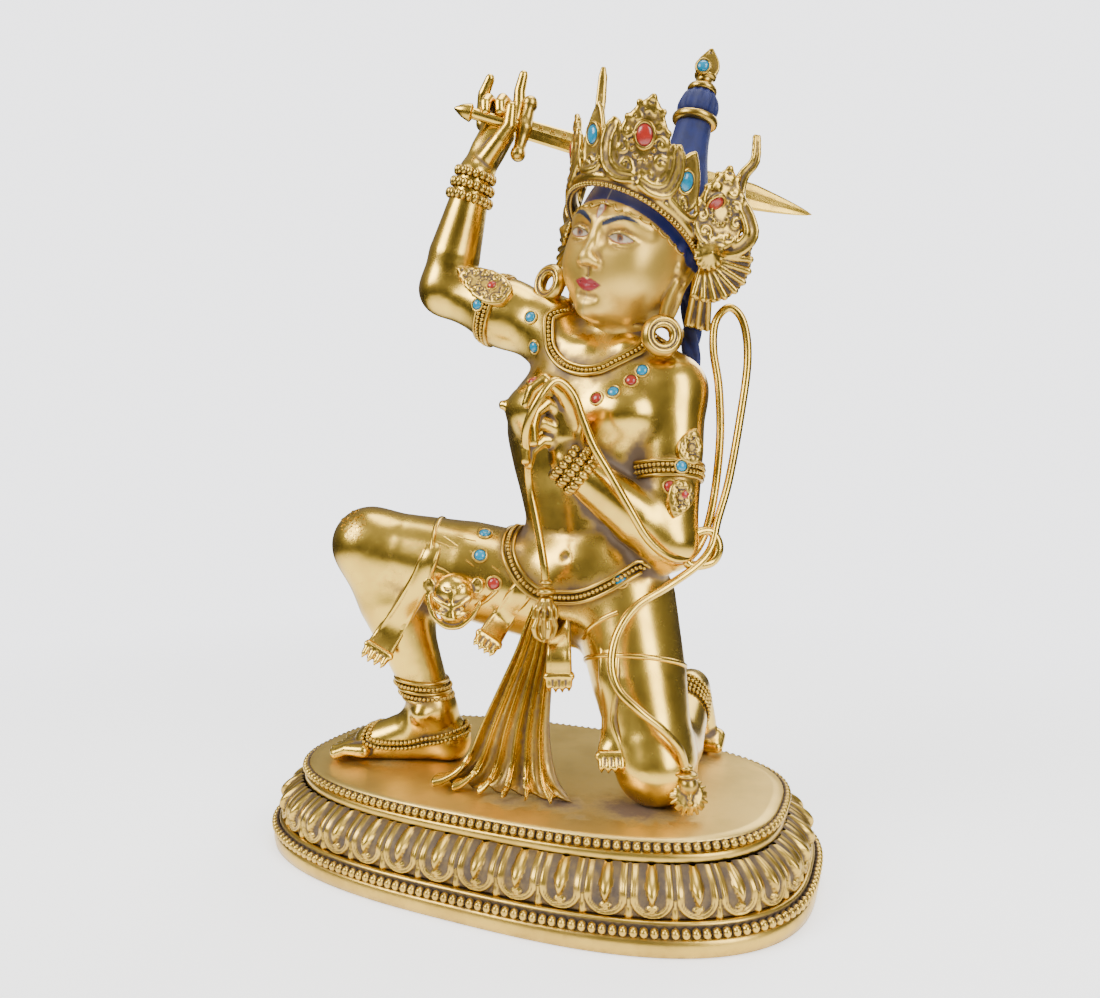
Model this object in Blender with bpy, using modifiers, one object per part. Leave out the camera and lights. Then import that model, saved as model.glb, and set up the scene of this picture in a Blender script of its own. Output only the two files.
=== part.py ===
"""A gilt copper figure of a kneeling wrathful protector on an oval lotus base.

The figure faces -Y and its own left is +X. The origin is the middle of the base's underside.
Points of the figure are in design millimetres from the middle of the base's top plate,
and at() carries them to metres for the figure height that is set here.
"""

import math

import bmesh
import bpy
from mathutils import Matrix, Vector
from mathutils.bvhtree import BVHTree

MM = 0.001

# Driving dimensions, in metres
FIGURE_HEIGHT = 0.350
DESIGN_FIGURE_MM = 350.0
BASE_LENGTH = 0.273
BASE_DEPTH = 0.170
BASE_HEIGHT = 0.038
BASE_ROUNDNESS = 3.0
RIM_HEIGHT = 0.0075
BEAD_BAND_RADIUS = 0.0021
PETAL_COUNT = 40
PETAL_RELIEF = 0.0034
GAP = 0.0003
CROWN_CLEARANCE = 0.0008
CROWN_BAND_WALL = 0.0032
CROWN_BAND_HEIGHT = 0.0085
SWORD_BLADE_WIDTH = 0.0125
SWORD_BLADE_THICKNESS = 0.0042
SWORD_GRIP_RADIUS = 0.0030
NOOSE_DIAMETER = 0.0032
EARRING_RADIUS = 0.0100
EARRING_BORE_RADIUS = 0.0032
EARRING_THICKNESS = 0.0060
STONE_SETTING_WALL = 0.0014
STONE_SETTING_RISE = 0.0006
STONE_SINK = 0.0008
STONE_SIDES = 7

# Sizes of the mesh steps
FIGURE_VOXEL = 0.0015
CROWN_VOXEL = 0.0009
SMALL_VOXEL = 0.0007
FIGURE_TRIANGLES = 3050
CROWN_TRIANGLES = 900
NOOSE_TRIANGLES = 640
FUSE_TRIES = 8
FINER_STEP = 0.013

GILT = ("gilt_copper", (0.83, 0.60, 0.20, 1.0), 0.28, 1.0)
DARK_GILT = ("worn_gilt", (0.62, 0.44, 0.17, 1.0), 0.42, 1.0)
TURQUOISE = ("turquoise", (0.10, 0.55, 0.66, 1.0), 0.35, 0.0)
CORAL = ("coral", (0.62, 0.13, 0.09, 1.0), 0.35, 0.0)


def at(x, y, z):
    """A point of the figure, from design millimetres above the top plate."""
    unit = FIGURE_HEIGHT / DESIGN_FIGURE_MM
    return Vector((x * unit, y * unit, z * unit + BASE_HEIGHT))


def size(millimetres):
    """A length of the figure, from design millimetres."""
    return millimetres * FIGURE_HEIGHT / DESIGN_FIGURE_MM


def clear_scene():
    for obj in list(bpy.data.objects):
        bpy.data.objects.remove(obj, do_unlink=True)


def collection_named(name):
    made = bpy.data.collections.new(name)
    bpy.context.scene.collection.children.link(made)
    return made


def material_of(finish):
    name, colour, roughness, metallic = finish
    material = bpy.data.materials.get(name)
    if material is None:
        material = bpy.data.materials.new(name)
        material.use_nodes = True
        shader = material.node_tree.nodes["Principled BSDF"]
        shader.inputs["Base Color"].default_value = colour
        shader.inputs["Roughness"].default_value = roughness
        shader.inputs["Metallic"].default_value = metallic
        material.diffuse_color = colour
    return material


def object_from(bm, name, collection, finish):
    """A new object that holds the bmesh, with its faces turned outwards."""
    bmesh.ops.recalc_face_normals(bm, faces=bm.faces)
    mesh = bpy.data.meshes.new(name)
    bm.to_mesh(mesh)
    bm.free()
    mesh.shade_smooth()
    mesh.set_sharp_from_angle(angle=math.radians(40))
    obj = bpy.data.objects.new(name, mesh)
    obj.data.materials.append(material_of(finish))
    collection.objects.link(obj)
    return obj


def make_helper(obj):
    """A cutter or a guide, which is no part of the statue."""
    obj.hide_render = True
    obj.display_type = "WIRE"
    return obj


def bake_modifiers(obj):
    """Gives the object the mesh that its modifiers make, and removes them."""
    bpy.context.view_layer.update()
    graph = bpy.context.evaluated_depsgraph_get()
    baked = bpy.data.meshes.new_from_object(obj.evaluated_get(graph))
    obj.modifiers.clear()
    obj.data = baked
    baked.shade_smooth()
    baked.set_sharp_from_angle(angle=math.radians(40))
    return obj


def keep_largest_body(obj):
    """Drops the specks that a remesh can leave beside the main body."""
    bm = bmesh.new()
    bm.from_mesh(obj.data)
    left = set(bm.verts)
    groups = []
    while left:
        queue = [left.pop()]
        group = set(queue)
        while queue:
            for edge in queue.pop().link_edges:
                for vert in edge.verts:
                    if vert in left:
                        left.discard(vert)
                        group.add(vert)
                        queue.append(vert)
        groups.append(group)
    largest = max(groups, key=len)
    bmesh.ops.delete(bm, geom=[v for v in bm.verts if v not in largest], context="VERTS")
    bm.to_mesh(obj.data)
    bm.free()
    return obj


def fuse(obj, voxel, triangles, smoothing=3):
    """Makes overlapping shapes one cast skin, softens the joins, and thins it to its triangle count."""
    remesh = obj.modifiers.new("fuse", "REMESH")
    remesh.mode = "VOXEL"
    remesh.voxel_size = voxel
    if smoothing:
        smooth = obj.modifiers.new("soften", "SMOOTH")
        smooth.factor = 0.5
        smooth.iterations = smoothing
    bake_modifiers(obj)
    keep_largest_body(obj)
    faces = sum(len(p.vertices) - 2 for p in obj.data.polygons)
    thin = obj.modifiers.new("thin", "DECIMATE")
    thin.ratio = min(1.0, triangles / faces)
    thin.use_collapse_triangulate = True
    return bake_modifiers(obj)


def cut(target, cutter, name):
    modifier = target.modifiers.new(name, "BOOLEAN")
    modifier.operation = "DIFFERENCE"
    modifier.solver = "EXACT"
    modifier.object = cutter


def closed_volume(obj):
    """The volume inside the mesh, or nothing where its skin is open."""
    bm = bmesh.new()
    bm.from_mesh(obj.data)
    volume = bm.calc_volume() if all(edge.is_manifold for edge in bm.edges) else 0
    bm.free()
    return volume


def fuse_and_cut(rough, voxel, triangles, smoothing, cutters):
    """Fuses the casting and takes the cutters out of it. A cut can leave the skin open where the two
    meshes nearly touch, so the voxel is made a little finer until every cut is clean."""
    for attempt in range(FUSE_TRIES):
        trial = rough.copy()
        trial.data = rough.data.copy()
        for each in rough.users_collection:
            each.objects.link(trial)
        fuse(trial, voxel * (1 - FINER_STEP * attempt), triangles, smoothing)
        whole = closed_volume(trial)
        for name, cutter in cutters:
            cut(trial, cutter, name)
            bake_modifiers(trial)
        if closed_volume(trial) > 0.8 * whole or attempt == FUSE_TRIES - 1:
            break
        bpy.data.objects.remove(trial, do_unlink=True)
    name = rough.name
    bpy.data.objects.remove(rough, do_unlink=True)
    trial.name = name
    return keep_largest_body(trial)


# Simple shapes that the castings are built up from


def frame_along(direction, up=Vector((0, 0, 1))):
    """A rotation whose Z lies along the direction and whose Y is as near up as it can be."""
    z = direction.normalized()
    y = up - z * up.dot(z)
    if y.length < 1e-6:
        y = Vector((0, 1, 0)) - z * z.y
    y.normalize()
    return Matrix((y.cross(z), y, z)).transposed().to_4x4()


def bring_in(bm, shape):
    """Adds a small bmesh to a large one, which is quicker than to build it there."""
    mesh = bpy.data.meshes.new("shape")
    shape.to_mesh(mesh)
    shape.free()
    bm.from_mesh(mesh)
    bpy.data.meshes.remove(mesh)


def ball(bm, centre, radii, turn=None, segments=20, rings=12):
    """An ellipsoid. Radii are one number or three, in metres."""
    if not hasattr(radii, "__len__"):
        radii = (radii, radii, radii)
    matrix = Matrix.Translation(centre) @ (turn or Matrix.Identity(4)) @ Matrix.Diagonal((*radii, 1))
    shape = bmesh.new()
    bmesh.ops.create_uvsphere(shape, u_segments=segments, v_segments=rings, radius=1, matrix=matrix)
    bring_in(bm, shape)


def bone(bm, start, end, start_radius, end_radius, flat=1.0, up=Vector((0, 0, 1)), segments=20):
    """A tapered limb with round ends, flattened along its own up by a share."""
    along = end - start
    turn = frame_along(along, up)
    squash = Matrix.Diagonal((1, flat, 1, 1))
    shape = bmesh.new()
    bmesh.ops.create_cone(
        shape,
        cap_ends=True,
        segments=segments,
        radius1=start_radius,
        radius2=end_radius,
        depth=along.length,
        matrix=Matrix.Translation((start + end) / 2) @ turn @ squash,
    )
    bring_in(bm, shape)
    ball(bm, start, (start_radius, start_radius * flat, start_radius), turn, segments, 12)
    ball(bm, end, (end_radius, end_radius * flat, end_radius), turn, segments, 12)


def chain(bm, stations, flat=1.0, up=Vector((0, 0, 1)), segments=20):
    """Bones end to end, from (point, radius) stations."""
    for (start, first), (end, second) in zip(stations, stations[1:]):
        bone(bm, start, end, first, second, flat, up, segments)


def skin_rings(bm, rings):
    """A closed skin over rings of as many points each, from one end to the other."""
    rows = [[bm.verts.new(point) for point in ring] for ring in rings]
    for low, high in zip(rows, rows[1:]):
        for i in range(len(low)):
            j = (i + 1) % len(low)
            bm.faces.new((low[i], low[j], high[j], high[i]))
    bm.faces.new(list(reversed(rows[0])))
    bm.faces.new(rows[-1])


# The lotus base


def base_outline(inset, turns):
    """A point of the base's rounded oval, moved in from its widest edge. turns is 0 to 1 round it."""
    angle = 2 * math.pi * turns
    c, s = math.cos(angle), math.sin(angle)
    power = 2 / BASE_ROUNDNESS
    half_length = BASE_LENGTH / 2 - inset
    half_depth = BASE_DEPTH / 2 - inset
    x = math.copysign(abs(c) ** power, c) * half_length
    y = math.copysign(abs(s) ** power, s) * half_depth
    return x, y


def even_turns(count):
    """Values of turns that stand an equal way apart along the outline."""
    steps = 2880
    points = [base_outline(0, k / steps) for k in range(steps + 1)]
    lengths = [0.0]
    for a, b in zip(points, points[1:]):
        lengths.append(lengths[-1] + math.dist(a, b))
    found, k = [], 0
    for i in range(count):
        goal = lengths[-1] * i / count
        while lengths[k + 1] < goal:
            k += 1
        share = (goal - lengths[k]) / (lengths[k + 1] - lengths[k])
        found.append((k + share) / steps)
    return found


def base_profile():
    """(inset, height, petal share) rows, from the underside to the top plate."""
    bead = BEAD_BAND_RADIUS
    outer, inner = 0.0065, 0.0150
    petal_low = RIM_HEIGHT + 2 * bead + 0.0020
    neck = BASE_HEIGHT - 2 * bead - 0.0035
    petal_rise = neck - petal_low
    return (
        (bead * 0.9, 0.0, 0.0),
        (bead * 0.9, RIM_HEIGHT, 0.0),
        (0.0, RIM_HEIGHT + bead, 0.0),
        (outer, petal_low, 0.3),
        (outer + 0.0006, petal_low + petal_rise * 0.28, 1.0),
        (outer + 0.0035, petal_low + petal_rise * 0.72, 0.8),
        (inner + 0.0010, neck, 0.0),
        (inner + 0.0010, BASE_HEIGHT - 2 * bead, 0.0),
        (inner - bead * 0.2, BASE_HEIGHT - bead, 0.0),
        (inner + bead * 0.9, BASE_HEIGHT - 0.0001, 0.0),
    )


def make_base(collection):
    """The oval pedestal with its ring of lotus petals between two bead bands."""
    steps = 25
    turns = even_turns(PETAL_COUNT * steps)
    rings = []
    for inset, height, relief in base_profile():
        ring = []
        for petal in range(PETAL_COUNT):
            for step, lobe in ((0, -0.5), (4, 0.5), (21, 0.5)):
                x, y = base_outline(inset - PETAL_RELIEF * relief * lobe, turns[petal * steps + step])
                ring.append((x, y, height))
        rings.append(ring)
    bm = bmesh.new()
    skin_rings(bm, rings)
    return object_from(bm, "lotus_base", collection, GILT)


# The figure

HEAD_CENTRE = (49.0, 6.0, 251.0)
HEAD_RADII = (28.0, 33.0, 39.0)
HEAD_LEAN = math.radians(18)
HEAD_NOD = math.radians(6)
HEAD_YAW = math.radians(-12)


BUN_FOOT = (66.5, 20.0, 280.0)
BUN_TIP = (81.5, 23.5, 345.5)
BUN_SHAPE = (
    (0.02, 15.5, 13),
    (0.22, 13.5, 15),
    (0.38, 12.8, 11),
    (0.56, 12.6, 2.4),
    (0.61, 8.6, 8),
    (0.68, 7.4, 6),
    (0.76, 6.8, 3.2),
    (0.80, 4.4, 6),
    (0.89, 5.4, 7.5),
    (0.94, 3.4, 6),
)


def head_turn():
    """The head leans to its left, nods and looks a little to its right."""
    lean = Matrix.Rotation(HEAD_LEAN, 4, "Y")
    nod = Matrix.Rotation(HEAD_NOD, 4, "X")
    yaw = Matrix.Rotation(HEAD_YAW, 4, "Z")
    return lean @ yaw @ nod


def head_point(x, y, z):
    """A point in the head's own axes, in design millimetres from its centre: +X its left, -Y its front."""
    turned = head_turn() @ Vector((x, y, z))
    return at(*(Vector(HEAD_CENTRE) + turned))


def add_torso(bm):
    """Belly, chest and shoulders as one stack of oval sections."""
    sections = (
        (26, 8, 66, 20, 16),
        (26, 8, 74, 28, 21),
        (26, 7, 86, 31, 23),
        (26, 5, 100, 30, 21),
        (26, 3, 117, 27.5, 18.5),
        (27, 3, 135, 30, 19),
        (28, 4, 152, 35, 22),
        (29, 6, 170, 40, 24),
        (32, 8, 188, 42, 23),
        (35, 10, 202, 33, 19),
        (38, 11, 211, 18, 16),
        (41, 10, 222, 15.5, 15),
        (44, 9, 236, 15, 15),
    )
    count = 32
    rings = []
    for x, y, z, wide, deep in sections:
        ring = []
        for i in range(count):
            angle = 2 * math.pi * i / count
            ring.append(at(x + wide * math.cos(angle), y + deep * math.sin(angle), z))
        rings.append(ring)
    skin_rings(bm, rings)
    ball(bm, at(13, -8, 178), tuple(size(r) for r in (18, 13, 14)))
    ball(bm, at(48, -7, 172), tuple(size(r) for r in (18, 13, 14)))
    ball(bm, at(26, -7, 100), tuple(size(r) for r in (19, 12, 16)))


def add_head(bm):
    """The skull and jaw, the ears with their long lobes, and the bound hair with its finial."""
    turn = head_turn()
    ball(bm, head_point(0, 0, 4), tuple(size(r) for r in HEAD_RADII), turn, 24, 16)
    ball(bm, head_point(0, -9, -19), tuple(size(r) for r in (20, 22, 19)), turn, 24, 16)
    bone(bm, head_point(0, -31, 2), head_point(0, -36.5, -11), size(3.0), size(4.2))
    ball(bm, head_point(0, -31.5, -22), tuple(size(r) for r in (8.5, 3.0, 3.6)), turn)
    ball(bm, head_point(0, -26.5, -33), tuple(size(r) for r in (7, 5.0, 5.0)), turn)
    for side in (-1, 1):
        ball(bm, head_point(side * 27, 3, -2), tuple(size(r) for r in (3.5, 7.0, 12.0)), turn)
        bone(bm, head_point(side * 28, 2, -10), head_point(side * 26.5, 1, -27), size(3.6), size(3.6))
    foot, tip = Vector(BUN_FOOT), Vector(BUN_TIP)
    ring_turn = frame_along(tip - foot)
    for share, radius, half_height in BUN_SHAPE:
        centre = at(*foot.lerp(tip, share))
        ball(bm, centre, (size(radius), size(radius), size(half_height)), ring_turn)
    for side in (-1, 1):
        locks = ((side * 24, 20, -6), (side * 27, 25, -24), (side * 33, 22, -40), (side * 38, 19, -52))
        chain(bm, [(head_point(*point), size(5.0)) for point in locks])


def add_raised_arm(bm):
    """The right arm, lifted out to the side, with its armlet and bracelet."""
    shoulder, elbow, wrist = at(4, 10, 218), at(-52, 1, 242), at(-32, -3, 297)
    chain(bm, [(at(16, 9, 202), size(19)), (shoulder, size(17.5))])
    middle = shoulder.lerp(elbow, 0.5)
    chain(bm, [(shoulder, size(17.0)), (middle, size(15.2)), (elbow, size(13.6))])
    belly = elbow.lerp(wrist, 0.35)
    chain(bm, [(elbow, size(13.4)), (belly, size(13.2)), (wrist, size(8.6))])
    ring_bulge(bm, elbow, wrist, 0.90, 11.5, 7)
    ring_bulge(bm, shoulder, elbow, 0.52, 16.8, 3)
    bone(bm, at(-36, -9, 250), at(-16, -5, 241), size(6.5), size(7.5), 0.45)


def ring_bulge(bm, start, end, share, radius, half_width):
    """A band that stands proud round a limb."""
    centre = start.lerp(end, share)
    turn = frame_along(end - start)
    matrix = Matrix.Translation(centre) @ turn
    bmesh.ops.create_cone(
        bm,
        cap_ends=True,
        segments=24,
        radius1=size(radius),
        radius2=size(radius),
        depth=size(half_width * 2),
        matrix=matrix,
    )


def add_sword_hand(bm):
    """Palm, thumb, two fingers raised and two curled over the grip."""
    bone(bm, at(-30, -1, 300), at(-22, 4, 320), size(7.8), size(8.6), 0.62, Vector((0.4, -0.9, 0)))
    ball(bm, at(-23, 4, 325), tuple(size(r) for r in (9.5, 5.0, 6.0)))
    chain(bm, [(at(-30, 3, 327), size(3.2)), (at(-29, -1, 336), size(3.0)), (at(-23, -2, 345), size(2.6))])
    chain(bm, [(at(-13, 8, 328), size(3.4)), (at(-12, 7, 338), size(3.1)), (at(-9, 6, 348), size(2.6))])
    for x, y in ((-24.5, 1.5), (-18.0, 4.5)):
        curl = ((x, y + 2, 330), (x, y - 2, 334), (x, y - 7, 332), (x + 0.5, y - 8.5, 327))
        chain(bm, [(at(*point), size(3.1)) for point in curl])
    chain(bm, [(at(-21, -3, 307), size(4.4)), (at(-12, -3, 317), size(3.6)), (at(-11, -4, 327), size(3.0))])


def add_noose_arm(bm):
    """The left arm, bent across the chest, with its hand held upright."""
    shoulder, elbow, wrist = at(66, 8, 184), at(69, -4, 114), at(29, -27, 150)
    chain(bm, [(at(52, 9, 192), size(17)), (shoulder, size(17.5))])
    middle = shoulder.lerp(elbow, 0.45)
    chain(bm, [(shoulder, size(17.2)), (middle, size(15.6)), (elbow, size(13.6))])
    belly = elbow.lerp(wrist, 0.3)
    chain(bm, [(elbow, size(13.4)), (belly, size(13.4)), (wrist, size(8.6))])
    ring_bulge(bm, elbow, wrist, 0.96, 11.5, 5)
    ring_bulge(bm, shoulder, elbow, 0.55, 17.0, 3.5)
    for height in (152, 134):
        ball(bm, at(74, -14, height), tuple(size(r) for r in (6, 5, 8)))
    bone(bm, at(28, -29, 157), at(28, -31, 172), size(8.0), size(8.0), 0.62, Vector((0.4, -0.9, 0)))
    chain(bm, [(at(29, -31, 176), size(4.5)), (at(24, -38, 186), size(3.2)), (at(16, -43, 177), size(2.6))])
    chain(bm, [(at(26, -33, 174), size(4.2)), (at(20, -42, 172), size(3.2)), (at(19, -44, 160), size(3.0))])
    chain(bm, [(at(24, -34, 166), size(4.2)), (at(17, -43, 163), size(3.0)), (at(15, -44, 152), size(2.6))])
    chain(bm, [(at(33, -30, 172), size(4.2)), (at(30, -38, 180), size(3.2))])


def add_right_leg(bm):
    """The raised leg: thigh out to the side, shin down to a flat foot."""
    hip, knee, ankle = at(6, 3, 88), at(-80, -24, 109), at(-51, -14, 27)
    chain(bm, [(hip, size(27)), (hip.lerp(knee, 0.45), size(25)), (knee, size(19.0))])
    chain(bm, [(knee, size(18.6)), (knee.lerp(ankle, 0.35), size(17.2)), (ankle, size(10.8))])
    ring_bulge(bm, knee, ankle, 0.93, 13.8, 4)
    heel, instep, ball_of_foot, toes = at(-44, -9, 10), at(-63, -17, 14), at(-84, -23, 8), at(-101, -26.5, 5)
    chain(bm, [(ankle, size(11)), (heel, size(10.5))])
    chain(bm, [(ankle, size(10.5)), (instep, size(11.5)), (ball_of_foot, size(9.5))])
    chain(bm, [(heel, size(10.0)), (at(-64, -16, 8), size(9.5)), (ball_of_foot, size(8.6))])
    for k in range(5):
        across = (k - 2) * 4.6
        start = at(-86 - across * 0.25, -23 + across, 5.5)
        end = at(-101 - across * 0.35 + abs(k - 1) * 0.8, -26.5 + across * 0.9, 3.8)
        bone(bm, start, end, size(4.4), size(3.6))
    ball(bm, toes, size(3.6))


def add_left_leg(bm):
    """The kneeling leg: knee on the plate, foot upright behind on its toes."""
    hip, knee, ankle = at(45, 4, 84), at(68, -21, 16.5), at(66, 42, 33)
    chain(bm, [(hip, size(25)), (hip.lerp(knee, 0.5), size(21.5)), (knee, size(17.0))])
    chain(bm, [(knee, size(16.5)), (at(67, 8, 17), size(15.5)), (ankle, size(10.5))])
    chain(bm, [
        (ankle, size(11)), (at(67, 51, 34), size(10)),
        (at(70, 57, 14), size(9)), (at(72, 57, 5), size(6)),
    ])
    chain(bm, [(at(40, 24, 74), size(22)), (at(18, 22, 78), size(21))])
    ring_bulge(bm, knee, ankle, 0.93, 13.0, 4)
    tassels = ((64, 38, 60, 4), (72, 45, 48, 4), (77, 52, 26, 3.6), (78, 54, 12, 3.2))
    chain(bm, [(at(*point), size(radius)) for *point, radius in tassels])


def add_cloth_fall(bm):
    """The pleated cloth that falls between the knees and spreads on the plate."""
    rows = (
        (16, -22, 84, 5, 3.0, -2),
        (13, -25, 66, 8, 3.0, -2),
        (8, -29, 46, 13, 3.0, -1),
        (4, -33, 26, 18, 3.2, 0),
        (3, -35, 12, 22, 3.4, 0),
        (3, -37, 5, 30, 3.4, 0),
        (2, -38, 1.2, 34, 3.0, 0),
    )
    columns = 24
    rings = []
    for x, y, z, half, wave, tilt in rows:
        front, back = [], []
        for i in range(columns + 1):
            share = i / columns
            across = (share * 2 - 1) * half
            fold = wave * 0.5 * math.cos(share * 5 * 2 * math.pi)
            thick = wave * 0.75
            front.append(at(x + across, y + fold + tilt * share - thick, z))
            back.append(at(x + across, y + fold + tilt * share + thick, z))
        rings.append(front + list(reversed(back)))
    skin_rings(bm, rings)


def add_skin_skirt(bm):
    """The wrapped hide: its belt, its hem on the thighs, its head and its hanging paws."""
    belt = (
        (-6, -17, 112), (2, -22, 98), (15, -25, 88), (30, -25, 89),
        (45, -20, 96), (56, -8, 103), (59, 6, 106),
    )
    chain(bm, [(at(*point), size(4.6)) for point in belt])
    behind = (
        (59, 6, 106), (50, 20, 106), (28, 27, 104), (8, 24, 106),
        (-4, 12, 112), (-9, -3, 117), (-6, -17, 112),
    )
    chain(bm, [(at(*point), size(4.6)) for point in behind])
    paws = (
        ((-44, -22, 112), (-54, -36, 88), (-66, -36, 64), (-72, -38, 53)),
        ((8, -24, 97), (-1, -29, 82), (-7, -32, 68)),
        ((20, -26, 76), (23, -28, 62), (25, -29, 48)),
        ((40, -22, 78), (46, -27, 50), (52, -35, 20)),
    )
    facing = Vector((0.4, -0.9, 0))
    for route in paws:
        chain(bm, [(at(*point), size(7.0)) for point in route], 0.5, facing)
        ball(bm, at(*route[-1]), tuple(size(r) for r in (8.0, 4.6, 5.0)))
    ball(bm, at(-31, -25, 88), tuple(size(r) for r in (14, 9, 13)))
    ball(bm, at(-30, -29, 78), tuple(size(r) for r in (7, 5, 5)))


def add_jewels_on_chest(bm):
    """The raised collar of the necklace."""
    route = (
        (6, 6, 214), (2, -10, 203), (9, -18, 190), (22, -21, 181),
        (38, -20, 181), (53, -13, 190), (60, -2, 201),
    )
    chain(bm, [(at(*point), size(4.4)) for point in route])


def make_figure(collection, seats):
    bm = bmesh.new()
    add_torso(bm)
    add_head(bm)
    add_raised_arm(bm)
    add_sword_hand(bm)
    add_noose_arm(bm)
    add_right_leg(bm)
    add_left_leg(bm)
    add_cloth_fall(bm)
    add_skin_skirt(bm)
    add_jewels_on_chest(bm)
    bmesh.ops.recalc_face_normals(bm, faces=bm.faces)
    set_seats(bm, seats)
    return object_from(bm, "figure", collection, GILT)


def sweep(bm, stations, facing, segments=12):
    """A flat or round ribbon along stations of point, half width and half thickness."""
    points = [point for point, _, _ in stations]
    rings = []
    for k, (point, wide, thick) in enumerate(stations):
        along = (points[min(k + 1, len(points) - 1)] - points[max(k - 1, 0)]).normalized()
        across = facing.cross(along).normalized()
        out = along.cross(across)
        ring = []
        for i in range(segments):
            angle = 2 * math.pi * i / segments
            ring.append(point + across * wide * math.cos(angle) + out * thick * math.sin(angle))
        rings.append(ring)
    skin_rings(bm, rings)


# The crown, in the head's own axes

BAND_HALF_WIDTH = 31.0
BAND_HALF_DEPTH = 36.0
LEAF_THICKNESS = 2.2


def band_point(degrees, out=0.0, up=0.0):
    """A point of the crown's band. The band drops from the forehead to behind the ears."""
    turn = math.radians(degrees)
    drop = 7 + 19.3 * math.cos(turn) - math.cos(2 * turn)
    x = (BAND_HALF_WIDTH + out) * math.sin(turn)
    y = -1 - (BAND_HALF_DEPTH + out) * math.cos(turn)
    return head_point(x, y, drop + up)


def head_way(x, y, z):
    """A direction given in the head's own axes."""
    return (head_turn() @ Vector((x, y, z))).normalized()


def add_band(bm):
    """The circlet: an upright strip with round edges that goes all the way round the head."""
    steps = 72
    wall, height = CROWN_BAND_WALL / size(1), CROWN_BAND_HEIGHT / size(1)
    section = ((0, -0.5), (0.7, -0.5), (1, -0.3), (1, 0.3), (0.7, 0.5), (0, 0.5))
    rows = []
    for k in range(steps):
        degrees = 360 * k / steps
        rows.append([bm.verts.new(band_point(degrees, o * wall, u * height)) for o, u in section])
    for k in range(steps):
        low, high = rows[k], rows[(k + 1) % steps]
        for i in range(len(section)):
            j = (i + 1) % len(section)
            bm.faces.new((low[i], low[j], high[j], high[i]))


def add_leaf(bm, degrees, base_up, height, half_width, out=1.5, lean_out=0.12, face_turn=0.0):
    """A pointed leaf that stands on the band and leans outwards."""
    turn = math.radians(degrees + face_turn)
    facing = head_way(math.sin(turn), -math.cos(turn), 0)
    stations = []
    outline = ((0, 0.45), (0.15, 0.8), (0.35, 1.0), (0.6, 0.9), (0.8, 0.6), (0.93, 0.3), (1, 0.12))
    for share, spread in outline:
        point = band_point(degrees, out + height * lean_out * share, base_up + height * share)
        stations.append((point, size(half_width * spread), size(LEAF_THICKNESS * (1.0 - 0.35 * share))))
    sweep(bm, stations, facing)


def add_horn(bm, degrees, side, reach, rise):
    """A curled petal that springs from a leaf's foot and turns up beside it."""
    facing = head_way(math.sin(math.radians(degrees)), -math.cos(math.radians(degrees)), 0)
    stations = []
    for k in range(7):
        share = k / 6
        around = degrees + side * math.degrees(reach / 34) * math.sin(share * math.pi / 2)
        up = 4 + rise * (1 - math.cos(share * math.pi / 2))
        stations.append((band_point(around, 2.5, up), size(3.4 - 1.2 * share), size(2.2 - 0.5 * share)))
    sweep(bm, stations, facing)


def add_wing(bm, side):
    """What the crown carries over an ear: a carved leaf, a rosette, a fan, a curling ribbon and a tail."""
    def point(degrees, out, up):
        return band_point(side * degrees, out, up)

    facing = head_way(side * 0.75, -0.65, 0.1)
    leaf = (
        (88, 5, -2, 4), (88, 7, 5, 9), (89, 9, 14, 12),
        (91, 11, 22, 11), (93, 13, 29, 6), (94, 14, 33, 2),
    )
    sweep(bm, [(point(d, o, u), size(w), size(2.4)) for d, o, u, w in leaf], facing)
    turn = frame_along(facing)
    ball(bm, point(93, 5, 0), (size(6.0), size(6.0), size(3.0)), turn)
    fan = ((96, 4, 1, 3.5), (99, 10, 1, 7), (102, 16, 0, 10.5), (104, 21, -1, 12.5))
    sweep(bm, [(point(d, o, u), size(w), size(1.9)) for d, o, u, w in fan], facing)
    ribbon = ((100, 10, 6), (100, 19, 7), (100, 23, 14), (100, 17, 20), (100, 11, 27), (100, 11, 36),
              (100, 14, 43), (100, 12, 52))
    widths = (3.0, 3.4, 3.8, 4.0, 4.0, 3.6, 2.8, 1.6)
    sweep(bm, [(point(d, o, u), size(w), size(2.0)) for (d, o, u), w in zip(ribbon, widths)], facing)
    tail = ((99, 3, 0, 4), (104, 4, -9, 5), (110, 4, -17, 5.5), (114, 4, -24, 5))
    sweep(bm, [(point(d, o, u), size(w), size(2.0)) for d, o, u, w in tail], facing)


# Inset stones. Each sits in a pocket of the casting that carries it.


def set_seats(bm, seats):
    """Finds where each stone sits on the casting's surface, and raises a setting there."""
    tree = BVHTree.FromBMesh(bm)
    for seat in seats:
        location, normal, _, _ = tree.find_nearest(seat["near"])
        seat["frame"] = Matrix.Translation(location) @ frame_along(normal)
        radius = seat["radius"] + STONE_SETTING_WALL
        bmesh.ops.create_cone(
            bm,
            cap_ends=True,
            segments=20,
            radius1=radius,
            radius2=radius,
            depth=0.004,
            matrix=seat["frame"] @ Matrix.Translation((0, 0, STONE_SETTING_RISE - 0.002)),
        )


def make_pockets(seats, name, collection):
    """One cutter with a round pocket for every stone."""
    bm = bmesh.new()
    floor = STONE_SINK + GAP
    for seat in seats:
        radius = (seat["radius"] + GAP) / math.cos(math.pi / STONE_SIDES)
        bmesh.ops.create_cone(
            bm,
            cap_ends=True,
            segments=STONE_SIDES,
            radius1=radius,
            radius2=radius,
            depth=0.006,
            matrix=seat["frame"] @ Matrix.Translation((0, 0, 0.003 - floor)),
        )
    return make_helper(object_from(bm, name, collection, DARK_GILT))


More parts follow.
